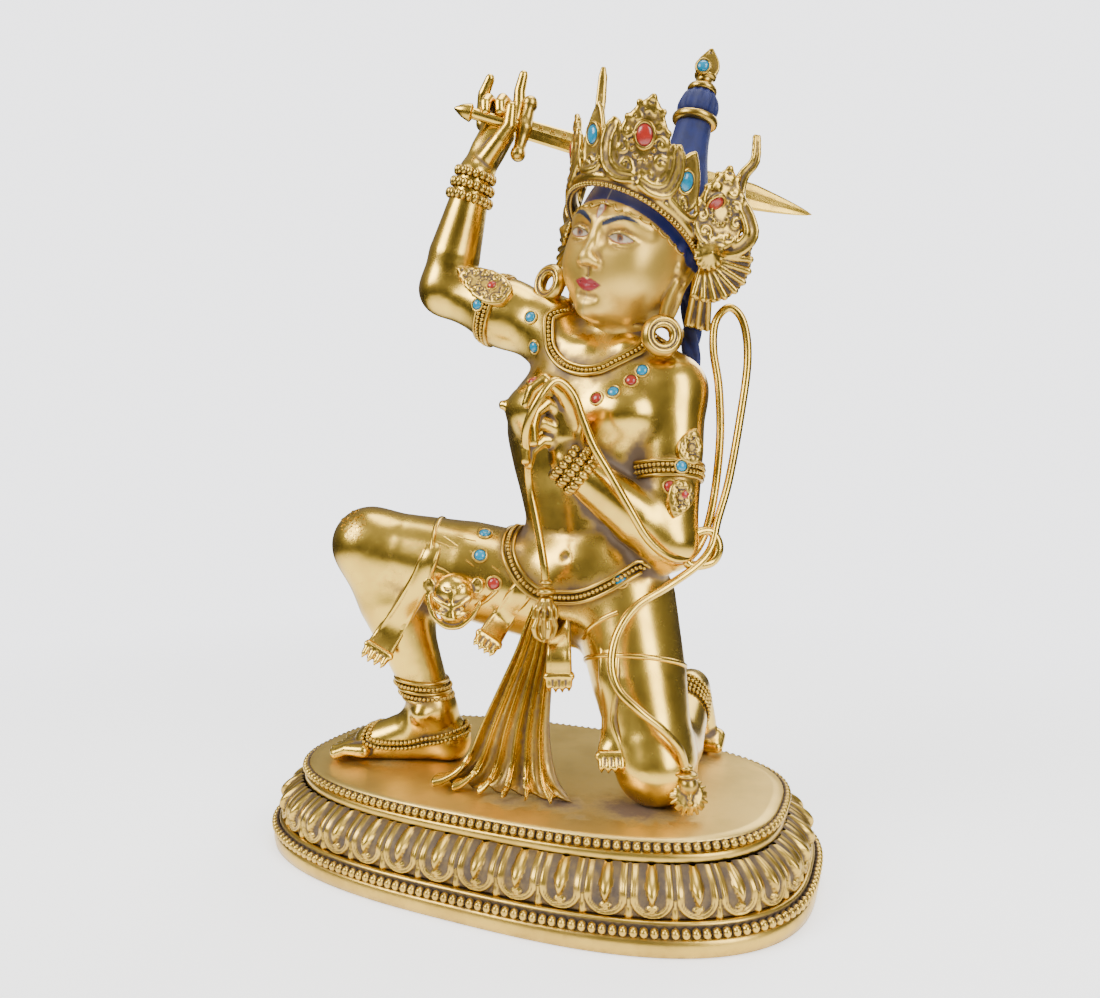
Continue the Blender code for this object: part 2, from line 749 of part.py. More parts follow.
def make_stone(seat, collection):
    """A low polished dome with a straight foot."""
    radius = seat["radius"]
    rows = ((-STONE_SINK, 1.0), (STONE_SETTING_RISE, 1.0), (STONE_SETTING_RISE + radius * 0.38, 0.66))
    rings = []
    for height, share in rows:
        ring = []
        for i in range(STONE_SIDES):
            angle = 2 * math.pi * (i + 0.5) / STONE_SIDES
            local = Vector((radius * share * math.cos(angle), radius * share * math.sin(angle), height))
            ring.append(seat["frame"] @ local)
        rings.append(ring)
    bm = bmesh.new()
    skin_rings(bm, rings)
    return object_from(bm, seat["name"], collection, seat["finish"])


def figure_seats():
    rows = (
        ("collar_1", (38, -24, 182), 2.2, CORAL),
        ("collar_2", (49, -24, 184), 2.2, TURQUOISE),
        ("collar_3", (58, -22, 189), 2.2, CORAL),
        ("collar_4", (66, -18, 194), 2.2, TURQUOISE),
        ("collar_5", (2, -10, 222), 2.4, TURQUOISE),
        ("collar_6", (-1, -16, 207), 2.2, TURQUOISE),
        ("collar_7", (3, -19, 197), 2.2, CORAL),
        ("armlet_1", (-28, -16, 230), 2.4, TURQUOISE),
        ("armlet_2", (-19, -12, 241), 2.4, CORAL),
        ("armlet_3", (82, -16, 148), 2.8, TURQUOISE),
        ("armlet_4", (73, -20, 142), 2.0, CORAL),
        ("armlet_5", (84, -12, 137), 2.0, CORAL),
        ("belt_1", (-17, -26, 106), 2.6, TURQUOISE),
        ("belt_2", (-8, -30, 94), 2.4, CORAL),
        ("belt_3", (-16, -22, 124), 2.0, TURQUOISE),
        ("belt_4", (59, -26, 97), 2.6, TURQUOISE),
        ("finial", (80, 14, 339), 2.6, TURQUOISE),
    )
    return [seat_row(name, at(*near), radius, finish) for name, near, radius, finish in rows]


def crown_seats():
    rows = (
        ("crown_1", band_point(27, 12, 19), 3.4, CORAL),
        ("crown_2", band_point(-50, 12, 17), 3.0, CORAL),
        ("crown_3", band_point(62, 12, 14), 2.7, TURQUOISE),
        ("crown_4", band_point(-14, 12, 16), 2.5, TURQUOISE),
        ("crown_5", band_point(82, 14, 15), 3.0, CORAL),
        ("crown_6", band_point(-82, 14, 15), 3.0, CORAL),
    )
    return [seat_row(name, near, radius, finish) for name, near, radius, finish in rows]


def seat_row(name, near, radius, finish):
    return {"name": "stone_" + name, "near": near, "radius": size(radius), "finish": finish}


def make_crown(collection, seats):
    """The crown as one piece, hollowed so that it stands clear of the head."""
    bm = bmesh.new()
    add_band(bm)
    add_leaf(bm, 27, 1, 33, 11.5)
    add_leaf(bm, -50, 1, 31, 9.5)
    add_leaf(bm, 62, 2, 24, 6.5, lean_out=0.02)
    add_leaf(bm, -14, 2, 28, 5.5)
    for leaf, reach in ((27, 17), (-50, 12)):
        add_horn(bm, leaf, -1, reach, 27)
        add_horn(bm, leaf, 1, reach, 27)
    add_wing(bm, 1)
    add_wing(bm, -1)
    bmesh.ops.recalc_face_normals(bm, faces=bm.faces)
    set_seats(bm, seats)
    return object_from(bm, "crown", collection, GILT)


def swollen_copy(obj, voxel, triangles, smoothing, by, name, collection):
    """A fused copy of the casting, without its cuts, whose skin stands off by a clearance."""
    cutter = bpy.data.objects.new(name, obj.data.copy())
    collection.objects.link(make_helper(cutter))
    fuse(cutter, voxel, triangles, smoothing)
    swell = cutter.modifiers.new("swell", "DISPLACE")
    swell.strength = by
    swell.mid_level = 0
    return bake_modifiers(cutter)


# The sword

POMMEL_TIP = (-38.5, -13.0, 328.0)
BLADE_TIP = (123.0, 80.0, 282.0)


def sword_frame():
    """The origin is the pommel's tip, +X runs to the blade's tip and +Z is the blade's upper edge."""
    start, end = at(*POMMEL_TIP), at(*BLADE_TIP)
    along = (end - start).normalized()
    edge = (Vector((0, 0, 1)) - along * along.z).normalized()
    turn = Matrix((along, edge.cross(along), edge)).transposed().to_4x4()
    return Matrix.Translation(start) @ turn, (end - start).length


def sword_shapes(extra):
    """The rings of the grip with its pommel, of the guard and of the blade, all swollen by extra."""
    frame, length = sword_frame()
    grip = SWORD_GRIP_RADIUS
    guard_at = size(36)
    profile = (
        (0.0, 0.0006), (size(4), grip * 0.8), (size(8), grip * 1.15), (size(9), grip * 1.15),
        (size(9.5), grip * 0.9), (guard_at, grip * 0.9), (guard_at + 0.001, grip * 0.9),
    )
    grip_rings = []
    for along, radius in profile:
        ring = []
        for i in range(8):
            angle = 2 * math.pi * i / 8
            reach = radius + extra
            ring.append(frame @ Vector((along, reach * math.cos(angle), reach * math.sin(angle))))
        grip_rings.append(ring)
    guard = ((-13.5, 3.6), (-11, 2.7), (-4, 2.9), (0, 3.4), (4, 2.9), (11, 2.7), (13.5, 3.6))
    guard_rings = []
    for height, half in guard:
        half_long, half_wide = size(half) + extra, size(3.0) + extra
        ring = []
        for i in range(8):
            angle = 2 * math.pi * (i + 0.5) / 8
            x = guard_at + half_long * math.cos(angle)
            ring.append(frame @ Vector((x, half_wide * math.sin(angle), size(height))))
        guard_rings.append(ring)
    wide, thick = SWORD_BLADE_WIDTH / 2 + extra, SWORD_BLADE_THICKNESS / 2 + extra
    blade = ((guard_at, 0.82, 1.0), (length * 0.45, 0.88, 1.0), (length * 0.82, 1.12, 1.0),
             (length * 0.90, 0.9, 0.9), (length, 0.06, 0.15))
    blade_rings = []
    for along, across_share, thick_share in blade:
        a, t = wide * across_share, thick * thick_share
        corners = ((t, 0), (t * 0.25, a), (-t * 0.25, a), (-t, 0), (-t * 0.25, -a), (t * 0.25, -a))
        blade_rings.append([frame @ Vector((along, y, z)) for y, z in corners])
    return grip_rings, guard_rings, blade_rings


def union_of_shapes(bm, name, collection, finish):
    """Splits the bmesh into its closed shapes and unites them with exact Booleans."""
    whole = object_from(bm, name, collection, finish)
    modifier = whole.modifiers.new("unite", "BOOLEAN")
    modifier.operation = "UNION"
    modifier.solver = "EXACT"
    modifier.use_self = True
    empty = bpy.data.objects.new(name + "_nothing", bpy.data.meshes.new(name + "_nothing"))
    collection.objects.link(empty)
    modifier.object = empty
    bake_modifiers(whole)
    bpy.data.objects.remove(empty, do_unlink=True)
    return whole


# The noose

NOOSE_LOOPS = (
    (21, -34, 95), (20, -35, 106), (16, -34, 124), (13, -35, 140), (15, -41, 152), (18, -49, 164),
    (24, -50, 176), (30, -45, 185), (36, -40, 180), (40, -37, 168), (44, -35, 157), (51, -32, 144),
    (59, -29, 129), (66, -25, 116), (74, -18, 108), (80, -6, 108), (84, 1, 116), (87, 4, 128),
    (89, 7, 145), (90, 9, 165), (89, 10, 186), (86, 12, 204), (87, 13, 217), (93, 15, 223),
    (99, 17, 216), (101, 17, 198), (98, 14, 170), (94, 9, 142), (90, 4, 124), (88, 0, 112),
    (83, -6, 104), (72, -17, 95), (61, -28, 87), (55, -35, 76), (54, -40, 64), (58, -43, 54),
    (67, -43, 46), (76, -39, 38), (82, -34, 29), (84, -31, 20),
)


def smooth_route(points, steps):
    """A curve through the points, with some steps to each span."""
    ends = [points[0]] + list(points) + [points[-1]]
    route = []
    for k in range(1, len(ends) - 2):
        a, b, c, d = (Vector(p) for p in ends[k - 1:k + 3])
        for i in range(steps):
            t = i / steps
            route.append(
                0.5 * (2 * b + (c - a) * t + (2 * a - 5 * b + 4 * c - d) * t * t
                       + (3 * b - a - 3 * c + d) * t * t * t)
            )
    route.append(Vector(points[-1]))
    return route


def tube_from(route, radius, name, collection, finish):
    """A round tube along the route, as a mesh with closed ends."""
    data = bpy.data.curves.new(name + "_route", "CURVE")
    data.dimensions = "3D"
    data.bevel_depth = radius
    data.bevel_resolution = 2
    data.use_fill_caps = True
    spline = data.splines.new("POLY")
    spline.points.add(len(route) - 1)
    for point, place in zip(spline.points, route):
        point.co = (*place, 1)
    curve = bpy.data.objects.new(name + "_route", data)
    collection.objects.link(curve)
    bpy.context.view_layer.update()
    graph = bpy.context.evaluated_depsgraph_get()
    mesh = bpy.data.meshes.new_from_object(curve.evaluated_get(graph))
    bm = bmesh.new()
    bm.from_mesh(mesh)
    bmesh.ops.remove_doubles(bm, verts=bm.verts, dist=0.00002)
    bm.transform(curve.matrix_world)
    bpy.data.objects.remove(curve, do_unlink=True)
    bpy.data.meshes.remove(mesh)
    return object_from(bm, name, collection, finish)


def make_noose(collection):
    """The rope with its knot, a half sceptre at one end and a bud at the other, not yet fused."""
    route = [at(*point) for point in smooth_route(NOOSE_LOOPS, 2)]
    rope = tube_from(route, NOOSE_DIAMETER / 2, "rope", collection, GILT)
    bm = bmesh.new()
    bm.from_mesh(rope.data)
    bpy.data.objects.remove(rope, do_unlink=True)
    bell = ((21, -34, 97, 2.0), (21, -34, 93, 4.0), (21, -34.5, 89, 3.0), (21, -35, 84, 5.0),
            (21, -35.5, 78, 6.4), (21, -36, 74, 5.0), (21, -36, 71, 2.0))
    add_turned(bm, bell)
    bud = ((84, -31, 22, 2.4), (84.5, -30.5, 18, 5.4), (85, -30, 15, 3.4), (85.5, -29.5, 10, 6.0),
           (86, -29, 5, 5.4), (86, -29, 2.2, 2.4))
    add_turned(bm, bud)
    knot = (
        (80, -7, 104), (88, 0, 105), (91, 2, 112), (87, 2, 119),
        (80, -4, 117), (78, -7, 109), (80, -7, 104),
    )
    chain(bm, [(at(*point), size(2.2)) for point in knot])
    return object_from(bm, "noose", collection, GILT)


def add_turned(bm, stations):
    """A turned shape from (x, y, z, radius) rows, upright."""
    rings = []
    for x, y, z, radius in stations:
        centre = at(x, y, z)
        reach = size(radius)
        ring = []
        for i in range(12):
            angle = 2 * math.pi * i / 12
            ring.append(centre + Vector((reach * math.cos(angle), reach * math.sin(angle), 0)))
        rings.append(ring)
    skin_rings(bm, rings)


# The earrings

EARRINGS = (
    ("earring_left", (67.5, -10.0, 207.5), (0.55, -0.83, 0.0)),
    ("earring_right", (7.5, 1.0, 239.5), (-0.35, -0.93, 0.1)),
)


def earring_shape(bm, centre, way, extra, bore):
    """A thick ring with a rounded rim, and a boss behind it."""
    turn = Matrix.Translation(at(*centre)) @ frame_along(Vector(way))
    half = EARRING_THICKNESS / 2 + extra
    outer, inner = EARRING_RADIUS + extra, EARRING_BORE_RADIUS
    section = [(outer * 0.78, -half), (outer, -half * 0.4), (outer, half * 0.4), (outer * 0.84, half)]
    if bore:
        section += [(inner * 1.5, half), (inner, half * 0.3), (inner, -half)]
    else:
        section += [(0.0, half), (0.0, -half)]
    count = 14
    if bore:
        rows = []
        for i in range(count):
            angle = 2 * math.pi * i / count
            way = Vector((math.cos(angle), math.sin(angle), 0))
            rows.append([bm.verts.new(turn @ (way * r + Vector((0, 0, z)))) for r, z in section])
        for i in range(count):
            low, high = rows[i], rows[(i + 1) % count]
            for k in range(len(section)):
                j = (k + 1) % len(section)
                bm.faces.new((low[k], low[j], high[j], high[k]))
    else:
        rings = []
        angles = [2 * math.pi * i / count for i in range(count)]
        for r, z in section[:4]:
            rings.append([turn @ Vector((r * math.cos(angle), r * math.sin(angle), z)) for angle in angles])
        skin_rings(bm, rings)


def make_plate_cutter(collection):
    """Everything below the base's top plate, so that the figure stands on it with a gap."""
    bm = bmesh.new()
    matrix = Matrix.Translation((0, 0, BASE_HEIGHT + GAP - 0.05)) @ Matrix.Diagonal((0.4, 0.4, 0.1, 1))
    bmesh.ops.create_cube(bm, size=1, matrix=matrix)
    return make_helper(object_from(bm, "plate_clearance", collection, DARK_GILT))


def main():
    clear_scene()
    parts = collection_named("kneeling_protector_statue")
    cutters = collection_named("cutters")
    make_base(parts)

    on_figure, on_crown = figure_seats(), crown_seats()
    figure = make_figure(parts, on_figure)
    crown = make_crown(parts, on_crown)
    head_room = swollen_copy(
        figure, FIGURE_VOXEL, FIGURE_TRIANGLES, 3, CROWN_CLEARANCE, "crown_clearance", cutters)
    fuse_and_cut(crown, CROWN_VOXEL, CROWN_TRIANGLES, 1, (
        ("clear of the head", head_room),
        ("stone pockets", make_pockets(on_crown, "crown_pockets", cutters)),
    ))

    bm = bmesh.new()
    for rings in sword_shapes(0.0):
        skin_rings(bm, rings)
    union_of_shapes(bm, "sword", parts, GILT)

    noose = make_noose(parts)
    noose_cutter = swollen_copy(
        noose, SMALL_VOXEL, NOOSE_TRIANGLES, 0, 3 * GAP, "noose_clearance", cutters)
    fuse(noose_cutter, SMALL_VOXEL, 2 * NOOSE_TRIANGLES, smoothing=0)
    fuse(noose, SMALL_VOXEL, NOOSE_TRIANGLES, smoothing=0)

    figure_cuts = [
        ("stone pockets", make_pockets(on_figure, "figure_pockets", cutters)),
        ("top plate", make_plate_cutter(cutters)),
        ("noose", noose_cutter),
    ]
    for name, rings in zip(("grip", "guard", "blade"), sword_shapes(GAP)):
        bm = bmesh.new()
        skin_rings(bm, rings)
        figure_cuts.append((name, make_helper(object_from(bm, name + "_clearance", cutters, DARK_GILT))))
    for name, centre, way in EARRINGS:
        bm = bmesh.new()
        earring_shape(bm, centre, way, 0.0, True)
        object_from(bm, name, parts, GILT)
        bm = bmesh.new()
        earring_shape(bm, centre, way, GAP, False)
        cutter = make_helper(object_from(bm, name + "_clearance", cutters, DARK_GILT))
        figure_cuts.append((name, cutter))
    fuse_and_cut(figure, FIGURE_VOXEL, FIGURE_TRIANGLES, 3, figure_cuts)

    for seat in on_figure + on_crown:
        make_stone(seat, parts)


main()
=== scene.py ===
import math

import bmesh
import bpy
import numpy as np
from mathutils import Matrix, Vector, kdtree
from mathutils.bvhtree import BVHTree


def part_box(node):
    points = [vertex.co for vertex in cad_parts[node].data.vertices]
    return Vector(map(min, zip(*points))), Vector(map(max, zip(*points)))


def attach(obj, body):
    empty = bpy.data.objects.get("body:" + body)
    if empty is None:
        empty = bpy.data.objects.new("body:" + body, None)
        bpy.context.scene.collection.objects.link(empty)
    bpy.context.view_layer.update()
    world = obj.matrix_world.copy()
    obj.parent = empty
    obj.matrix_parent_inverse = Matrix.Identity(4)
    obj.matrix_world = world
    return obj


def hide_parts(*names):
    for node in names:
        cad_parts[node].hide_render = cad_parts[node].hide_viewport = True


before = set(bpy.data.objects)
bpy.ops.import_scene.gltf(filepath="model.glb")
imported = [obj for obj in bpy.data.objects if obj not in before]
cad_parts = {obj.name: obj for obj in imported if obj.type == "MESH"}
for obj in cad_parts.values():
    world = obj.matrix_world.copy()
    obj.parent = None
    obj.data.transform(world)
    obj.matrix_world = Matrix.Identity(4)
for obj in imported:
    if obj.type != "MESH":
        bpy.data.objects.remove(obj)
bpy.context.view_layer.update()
scene = bpy.context.scene
mm = 0.001
plateTop = 38.0  # figure points are in millimetres above the plate
toViewer = (0.4, -0.9, 0)  # level, from the statue to where the photo was taken


# Helpers for vectors and nodes

def unit(way):
    way = np.array(way, float)
    return way / np.linalg.norm(way)


def setInputs(tree, node, inputs):  # each input is a value or another node's output
    for key, value in inputs.items():
        if isinstance(value, bpy.types.NodeSocket):
            tree.links.new(value, node.inputs[key])
        else:
            node.inputs[key].default_value = value


def addNode(tree, kind, inputs=None, **settings):
    node = tree.nodes.new(kind)
    for name, value in settings.items():
        setattr(node, name, value)
    setInputs(tree, node, inputs or {})
    return node


def mapRange(tree, value, low, high, first=0.0, last=1.0, way="LINEAR"):
    inputs = {"Value": value, "From Min": low, "From Max": high, "To Min": first, "To Max": last}
    return addNode(tree, "ShaderNodeMapRange", inputs, interpolation_type=way).outputs["Result"]


def mixTones(tree, share, a, b):
    return addNode(tree, "ShaderNodeMix", {"Factor": share, "A": a, "B": b},
        data_type="RGBA").outputs["Result"]


def mathNode(tree, kind, *values):
    return addNode(tree, "ShaderNodeMath", dict(enumerate(values)), operation=kind).outputs[0]


def socketOf(tree, name, kind, side, value=None):
    made = tree.interface.new_socket(name=name, in_out=side, socket_type="NodeSocket" + kind)
    if value is not None:
        made.default_value = value


# Camera, lights and floor

view = {
    "place": (0.1660, -0.3625, 0.1784),
    "back": (0.3996, -0.9165, 0.0182),
    "right": (0.9167, 0.3996, 0.0),
    "lens": 26.18,
    "sensor": 36,
    "frame": (1100, 998),
}
studio = {
    "backdrop": (3.1, 3.1, 3.2),
    "skyTop": 0.46,
    "skyLow": 0.05,
    "skyTone": (1.0, 0.985, 0.96),
    "floor": (0.88, 0.88, 0.885),
    "floorGlow": 1.27,
    "fade": (0.24, 0.80),  # metres from the statue where the floor clears to the backdrop
    # place, aim, width, height, watts
    "boxes": (
        ((-0.70, -1.00, 0.95), (0.0, 0.0, 0.22), 0.70, 0.80, 25),
        ((1.05, -0.60, 0.65), (0.0, 0.0, 0.20), 0.55, 0.95, 16),
        ((0.10, 0.10, 1.45), (0.0, 0.0, 0.15), 0.90, 0.70, 15),
        ((0.35, 1.05, 0.85), (0.0, 0.0, 0.20), 0.90, 0.60, 9),
    ),
}


def aimCamera():
    back, right = Vector(view["back"]).normalized(), Vector(view["right"]).normalized()
    up = back.cross(right).normalized()
    right = up.cross(back)
    data = bpy.data.cameras.new("photoCamera")
    data.sensor_fit = "HORIZONTAL"
    data.sensor_width = view["sensor"]
    data.lens = view["lens"]
    data.clip_start = 0.01
    camera = bpy.data.objects.new("photoCamera", data)
    scene.collection.objects.link(camera)
    turn = Matrix((right, up, back)).transposed().to_4x4()
    camera.matrix_world = Matrix.Translation(view["place"]) @ turn
    scene.camera = camera
    return right, up, back


right, up, back = aimCamera()


def photoRay(px, py):  # from the eye through a pixel of the photograph
    wide, high = view["frame"]
    span = view["sensor"] / view["lens"]
    across = (px - wide / 2) / wide * span
    rise = (high / 2 - py) / wide * span
    return Vector(view["place"]), (right * across + up * rise - back).normalized()


def photoPoint(px, py, depth):  # the figure's point under a pixel, at a given y in millimetres
    eye, way = photoRay(px, py)
    spot = eye + way * ((depth * mm - eye.y) / way.y)
    return spot.x / mm, depth, spot.z / mm - plateTop


def lightStudio():
    world = scene.world or bpy.data.worlds.new("studio")
    scene.world = world
    world.use_nodes = True
    tree = world.node_tree
    tree.nodes.clear()
    coords = addNode(tree, "ShaderNodeTexCoord").outputs["Generated"]
    rise = addNode(tree, "ShaderNodeSeparateXYZ", {0: coords}).outputs["Z"]
    sky = mapRange(tree, rise, -0.1, 0.9, studio["skyLow"], studio["skyTop"])
    seen = addNode(tree, "ShaderNodeBackground", {"Color": (*studio["backdrop"], 1)})
    glow = addNode(tree, "ShaderNodeBackground", {"Color": (*studio["skyTone"], 1), "Strength": sky})
    path = addNode(tree, "ShaderNodeLightPath").outputs["Is Camera Ray"]
    mix = addNode(tree, "ShaderNodeMixShader", {"Fac": path, 1: glow.outputs[0], 2: seen.outputs[0]})
    addNode(tree, "ShaderNodeOutputWorld", {"Surface": mix.outputs[0]})
    for number, (place, aim, wide, high, watts) in enumerate(studio["boxes"]):
        data = bpy.data.lights.new(f"softBox{number}", "AREA")
        data.shape = "RECTANGLE"
        data.size, data.size_y, data.energy = wide, high, watts
        box = bpy.data.objects.new(f"softBox{number}", data)
        scene.collection.objects.link(box)
        box.location = place
        box.rotation_euler = (Vector(aim) - Vector(place)).to_track_quat("-Z", "Y").to_euler()


lightStudio()


# Materials

# each kind: bright and deep gold, a brown for patina, pits and painted shade, and roughness
gold = {
    "skin": {"bright": (0.78, 0.512, 0.080), "deep": (0.44, 0.262, 0.042), "brown": (0.110, 0.070, 0.038),
             "rough": 0.25},
    "carved": {"bright": (0.60, 0.392, 0.072), "deep": (0.33, 0.200, 0.040), "brown": (0.070, 0.047, 0.030),
             "rough": 0.31},
    "plate": {"bright": (0.84, 0.590, 0.160), "deep": (0.62, 0.415, 0.102), "brown": (0.150, 0.095, 0.058),
             "rough": 0.44},
    "face": {"bright": (0.74, 0.480, 0.090), "deep": (0.60, 0.370, 0.065), "brown": (0.22, 0.13, 0.05),
             "rough": 0.40},
}


def buildWearAndShade():
    # gilding that browns in hollows, as patina and as painted shade, shines on ridges, and is mottled and
    # pitted
    tree = bpy.data.node_groups.new("giltWearAndShade", "ShaderNodeTree")
    for name, kind, value in (
            ("Bright", "Color", (0.8, 0.55, 0.2, 1)), ("Deep", "Color", (0.5, 0.3, 0.1, 1)),
            ("Brown", "Color", (0.08, 0.05, 0.02, 1)), ("Cavity", "Float", 0.0),
            ("Roughness", "Float", 0.3), ("Browning", "Float", 1.0)):
        socketOf(tree, name, kind, "INPUT", value)
    for name, kind in (("Color", "Color"), ("Roughness", "Float"), ("Height", "Float"), ("Metal", "Float")):
        socketOf(tree, name, kind, "OUTPUT")
    given = tree.nodes.new("NodeGroupInput").outputs
    place = addNode(tree, "ShaderNodeTexCoord").outputs["Object"]

    def noise(scale, detail, rough=0.55):
        inputs = {"Vector": place, "Scale": scale, "Detail": detail, "Roughness": rough}
        return addNode(tree, "ShaderNodeTexNoise", inputs).outputs["Fac"]

    def spread(value, low, high, first=0.0, last=1.0):
        return mapRange(tree, value, low, high, first, last, "SMOOTHSTEP")

    def add(a, b):
        return mathNode(tree, "ADD", a, b)

    def less(a, b):
        return mathNode(tree, "SUBTRACT", a, b)

    def times(a, b):
        return mathNode(tree, "MULTIPLY", a, b)

    bright, deep, brown, cavity = (given[name] for name in ("Bright", "Deep", "Brown", "Cavity"))
    clouds, mottle, grain = noise(38, 3), noise(210, 4, 0.62), noise(1500, 2, 0.5)
    pits = spread(noise(620, 3, 0.6), 0.70, 0.80)
    toned = mixTones(tree, spread(clouds, 0.40, 0.72, 0.0, 0.55), bright, deep)
    hollow = add(cavity, times(less(mottle, 0.5), 0.55))
    # the browning in hollows is patina and also painted shade, since the cavity values carry both
    browned = times(spread(hollow, 0.02, 0.55), given["Browning"])
    rubbed = spread(times(cavity, -1.0), 0.25, 0.9, 0.0, 0.35)
    middle = mixTones(tree, spread(hollow, -0.12, 0.30, 0.0, 0.8), toned, deep)
    polished = mixTones(tree, rubbed, middle, bright)
    speckled = mixTones(tree, times(pits, 0.35), polished, brown)
    rough = add(given["Roughness"], times(browned, 0.30))
    tall = add(times(mottle, 0.5), times(grain, 0.16))
    addNode(tree, "NodeGroupOutput", {
        "Color": mixTones(tree, browned, speckled, brown),
        "Metal": less(1.0, times(browned, 0.8)),
        "Roughness": add(rough, times(less(mottle, 0.5), 0.16)),
        "Height": less(tall, times(pits, 0.25)),
    })
    return tree


wearAndShade = buildWearAndShade()


def readAttribute(tree, name):
    return addNode(tree, "ShaderNodeAttribute", attribute_name=name).outputs


def newMaterial(name):
    material = bpy.data.materials.new(name)
    material.use_nodes = True
    return material, material.node_tree, material.node_tree.nodes["Principled BSDF"]


def giltMaterial(name, kind, browning=1.0, bump=0.12, painted=False, metal=1.0):
    material, tree, shader = newMaterial(name)
    tones = gold[kind]
    group = addNode(tree, "ShaderNodeGroup", {
        "Bright": (*tones["bright"], 1), "Deep": (*tones["deep"], 1), "Brown": (*tones["brown"], 1),
        "Roughness": tones["rough"], "Browning": browning, "Cavity": readAttribute(tree, "cavity")["Fac"],
    }, node_tree=wearAndShade).outputs
    bumps = addNode(tree, "ShaderNodeBump", {"Strength": bump, "Distance": 0.0006, "Height": group["Height"]})
    tone, metallic = group["Color"], group["Metal"]
    if painted:  # colour from the paint attribute, which also dulls the metal
        paint = readAttribute(tree, "paint")
        tone = mixTones(tree, paint["Alpha"], tone, paint["Color"])
        metallic = mapRange(tree, paint["Alpha"], 0.0, 1.0, metal, 0.0)
    setInputs(tree, shader, {
        "Base Color": tone, "Metallic": metallic, "Roughness": group["Roughness"],
        "Normal": bumps.outputs["Normal"]})
    return material


def plainMaterial(name, tone, dark, rough, scale, coat=0.0, bump=0.1, veins=0.5):
    material, tree, shader = newMaterial(name)
    place = addNode(tree, "ShaderNodeTexCoord").outputs["Object"]
    noise = addNode(tree, "ShaderNodeTexNoise", {"Vector": place, "Scale": scale, "Detail": 4}).outputs["Fac"]
    share = mapRange(tree, noise, 0.42, 0.75, 0.0, veins)
    bumps = addNode(tree, "ShaderNodeBump", {"Strength": bump, "Distance": 0.0005, "Height": noise})
    setInputs(tree, shader, {
        "Base Color": mixTones(tree, share, (*tone, 1), (*dark, 1)), "Roughness": rough, "Coat Weight": coat,
        "Normal": bumps.outputs["Normal"]})
    return material


giltSkin = giltMaterial("giltSkin", "skin", bump=0.06)
giltCarved = giltMaterial("giltCarved", "carved", bump=0.16)
giltPlate = giltMaterial("giltPlate", "plate", bump=0.10)
giltFace = giltMaterial("giltFace", "face", browning=0.75, bump=0.05, painted=True, metal=0.85)
hairBlue = plainMaterial("hairBlue", (0.008, 0.016, 0.115), (0.006, 0.008, 0.030), 0.66, 160, bump=0.3,
    veins=0.8)
turquoise = plainMaterial("turquoiseStone", (0.0, 0.23, 0.40), (0.005, 0.13, 0.17), 0.22, 420, coat=0.5,
    bump=0.05)
coral = plainMaterial("coralStone", (0.36, 0.022, 0.012), (0.16, 0.010, 0.008), 0.28, 380, coat=0.4,
    bump=0.05)
print("camera, lights and materials ready")


# Clay: signed distances on a grid, skinned by joining the cells that the surface crosses

def smoothRoute(points, steps, closed=False):
    points = [np.array(p, float) for p in points]
    if closed:
        ends = [points[-1]] + points + points[:2]
    else:
        ends = [2 * points[0] - points[1]] + points + [2 * points[-1] - points[-2]]
    route = []
    for a, b, c, d in zip(ends, ends[1:], ends[2:], ends[3:]):
        for i in range(steps):
            t = i / steps
            route.append(0.5 * (2 * b + (c - a) * t + (2 * a - 5 * b + 4 * c - d) * t * t
                + (3 * b - a - 3 * c + d) * t ** 3))
    if not closed:
        route.append(points[-1])
    return np.array(route)


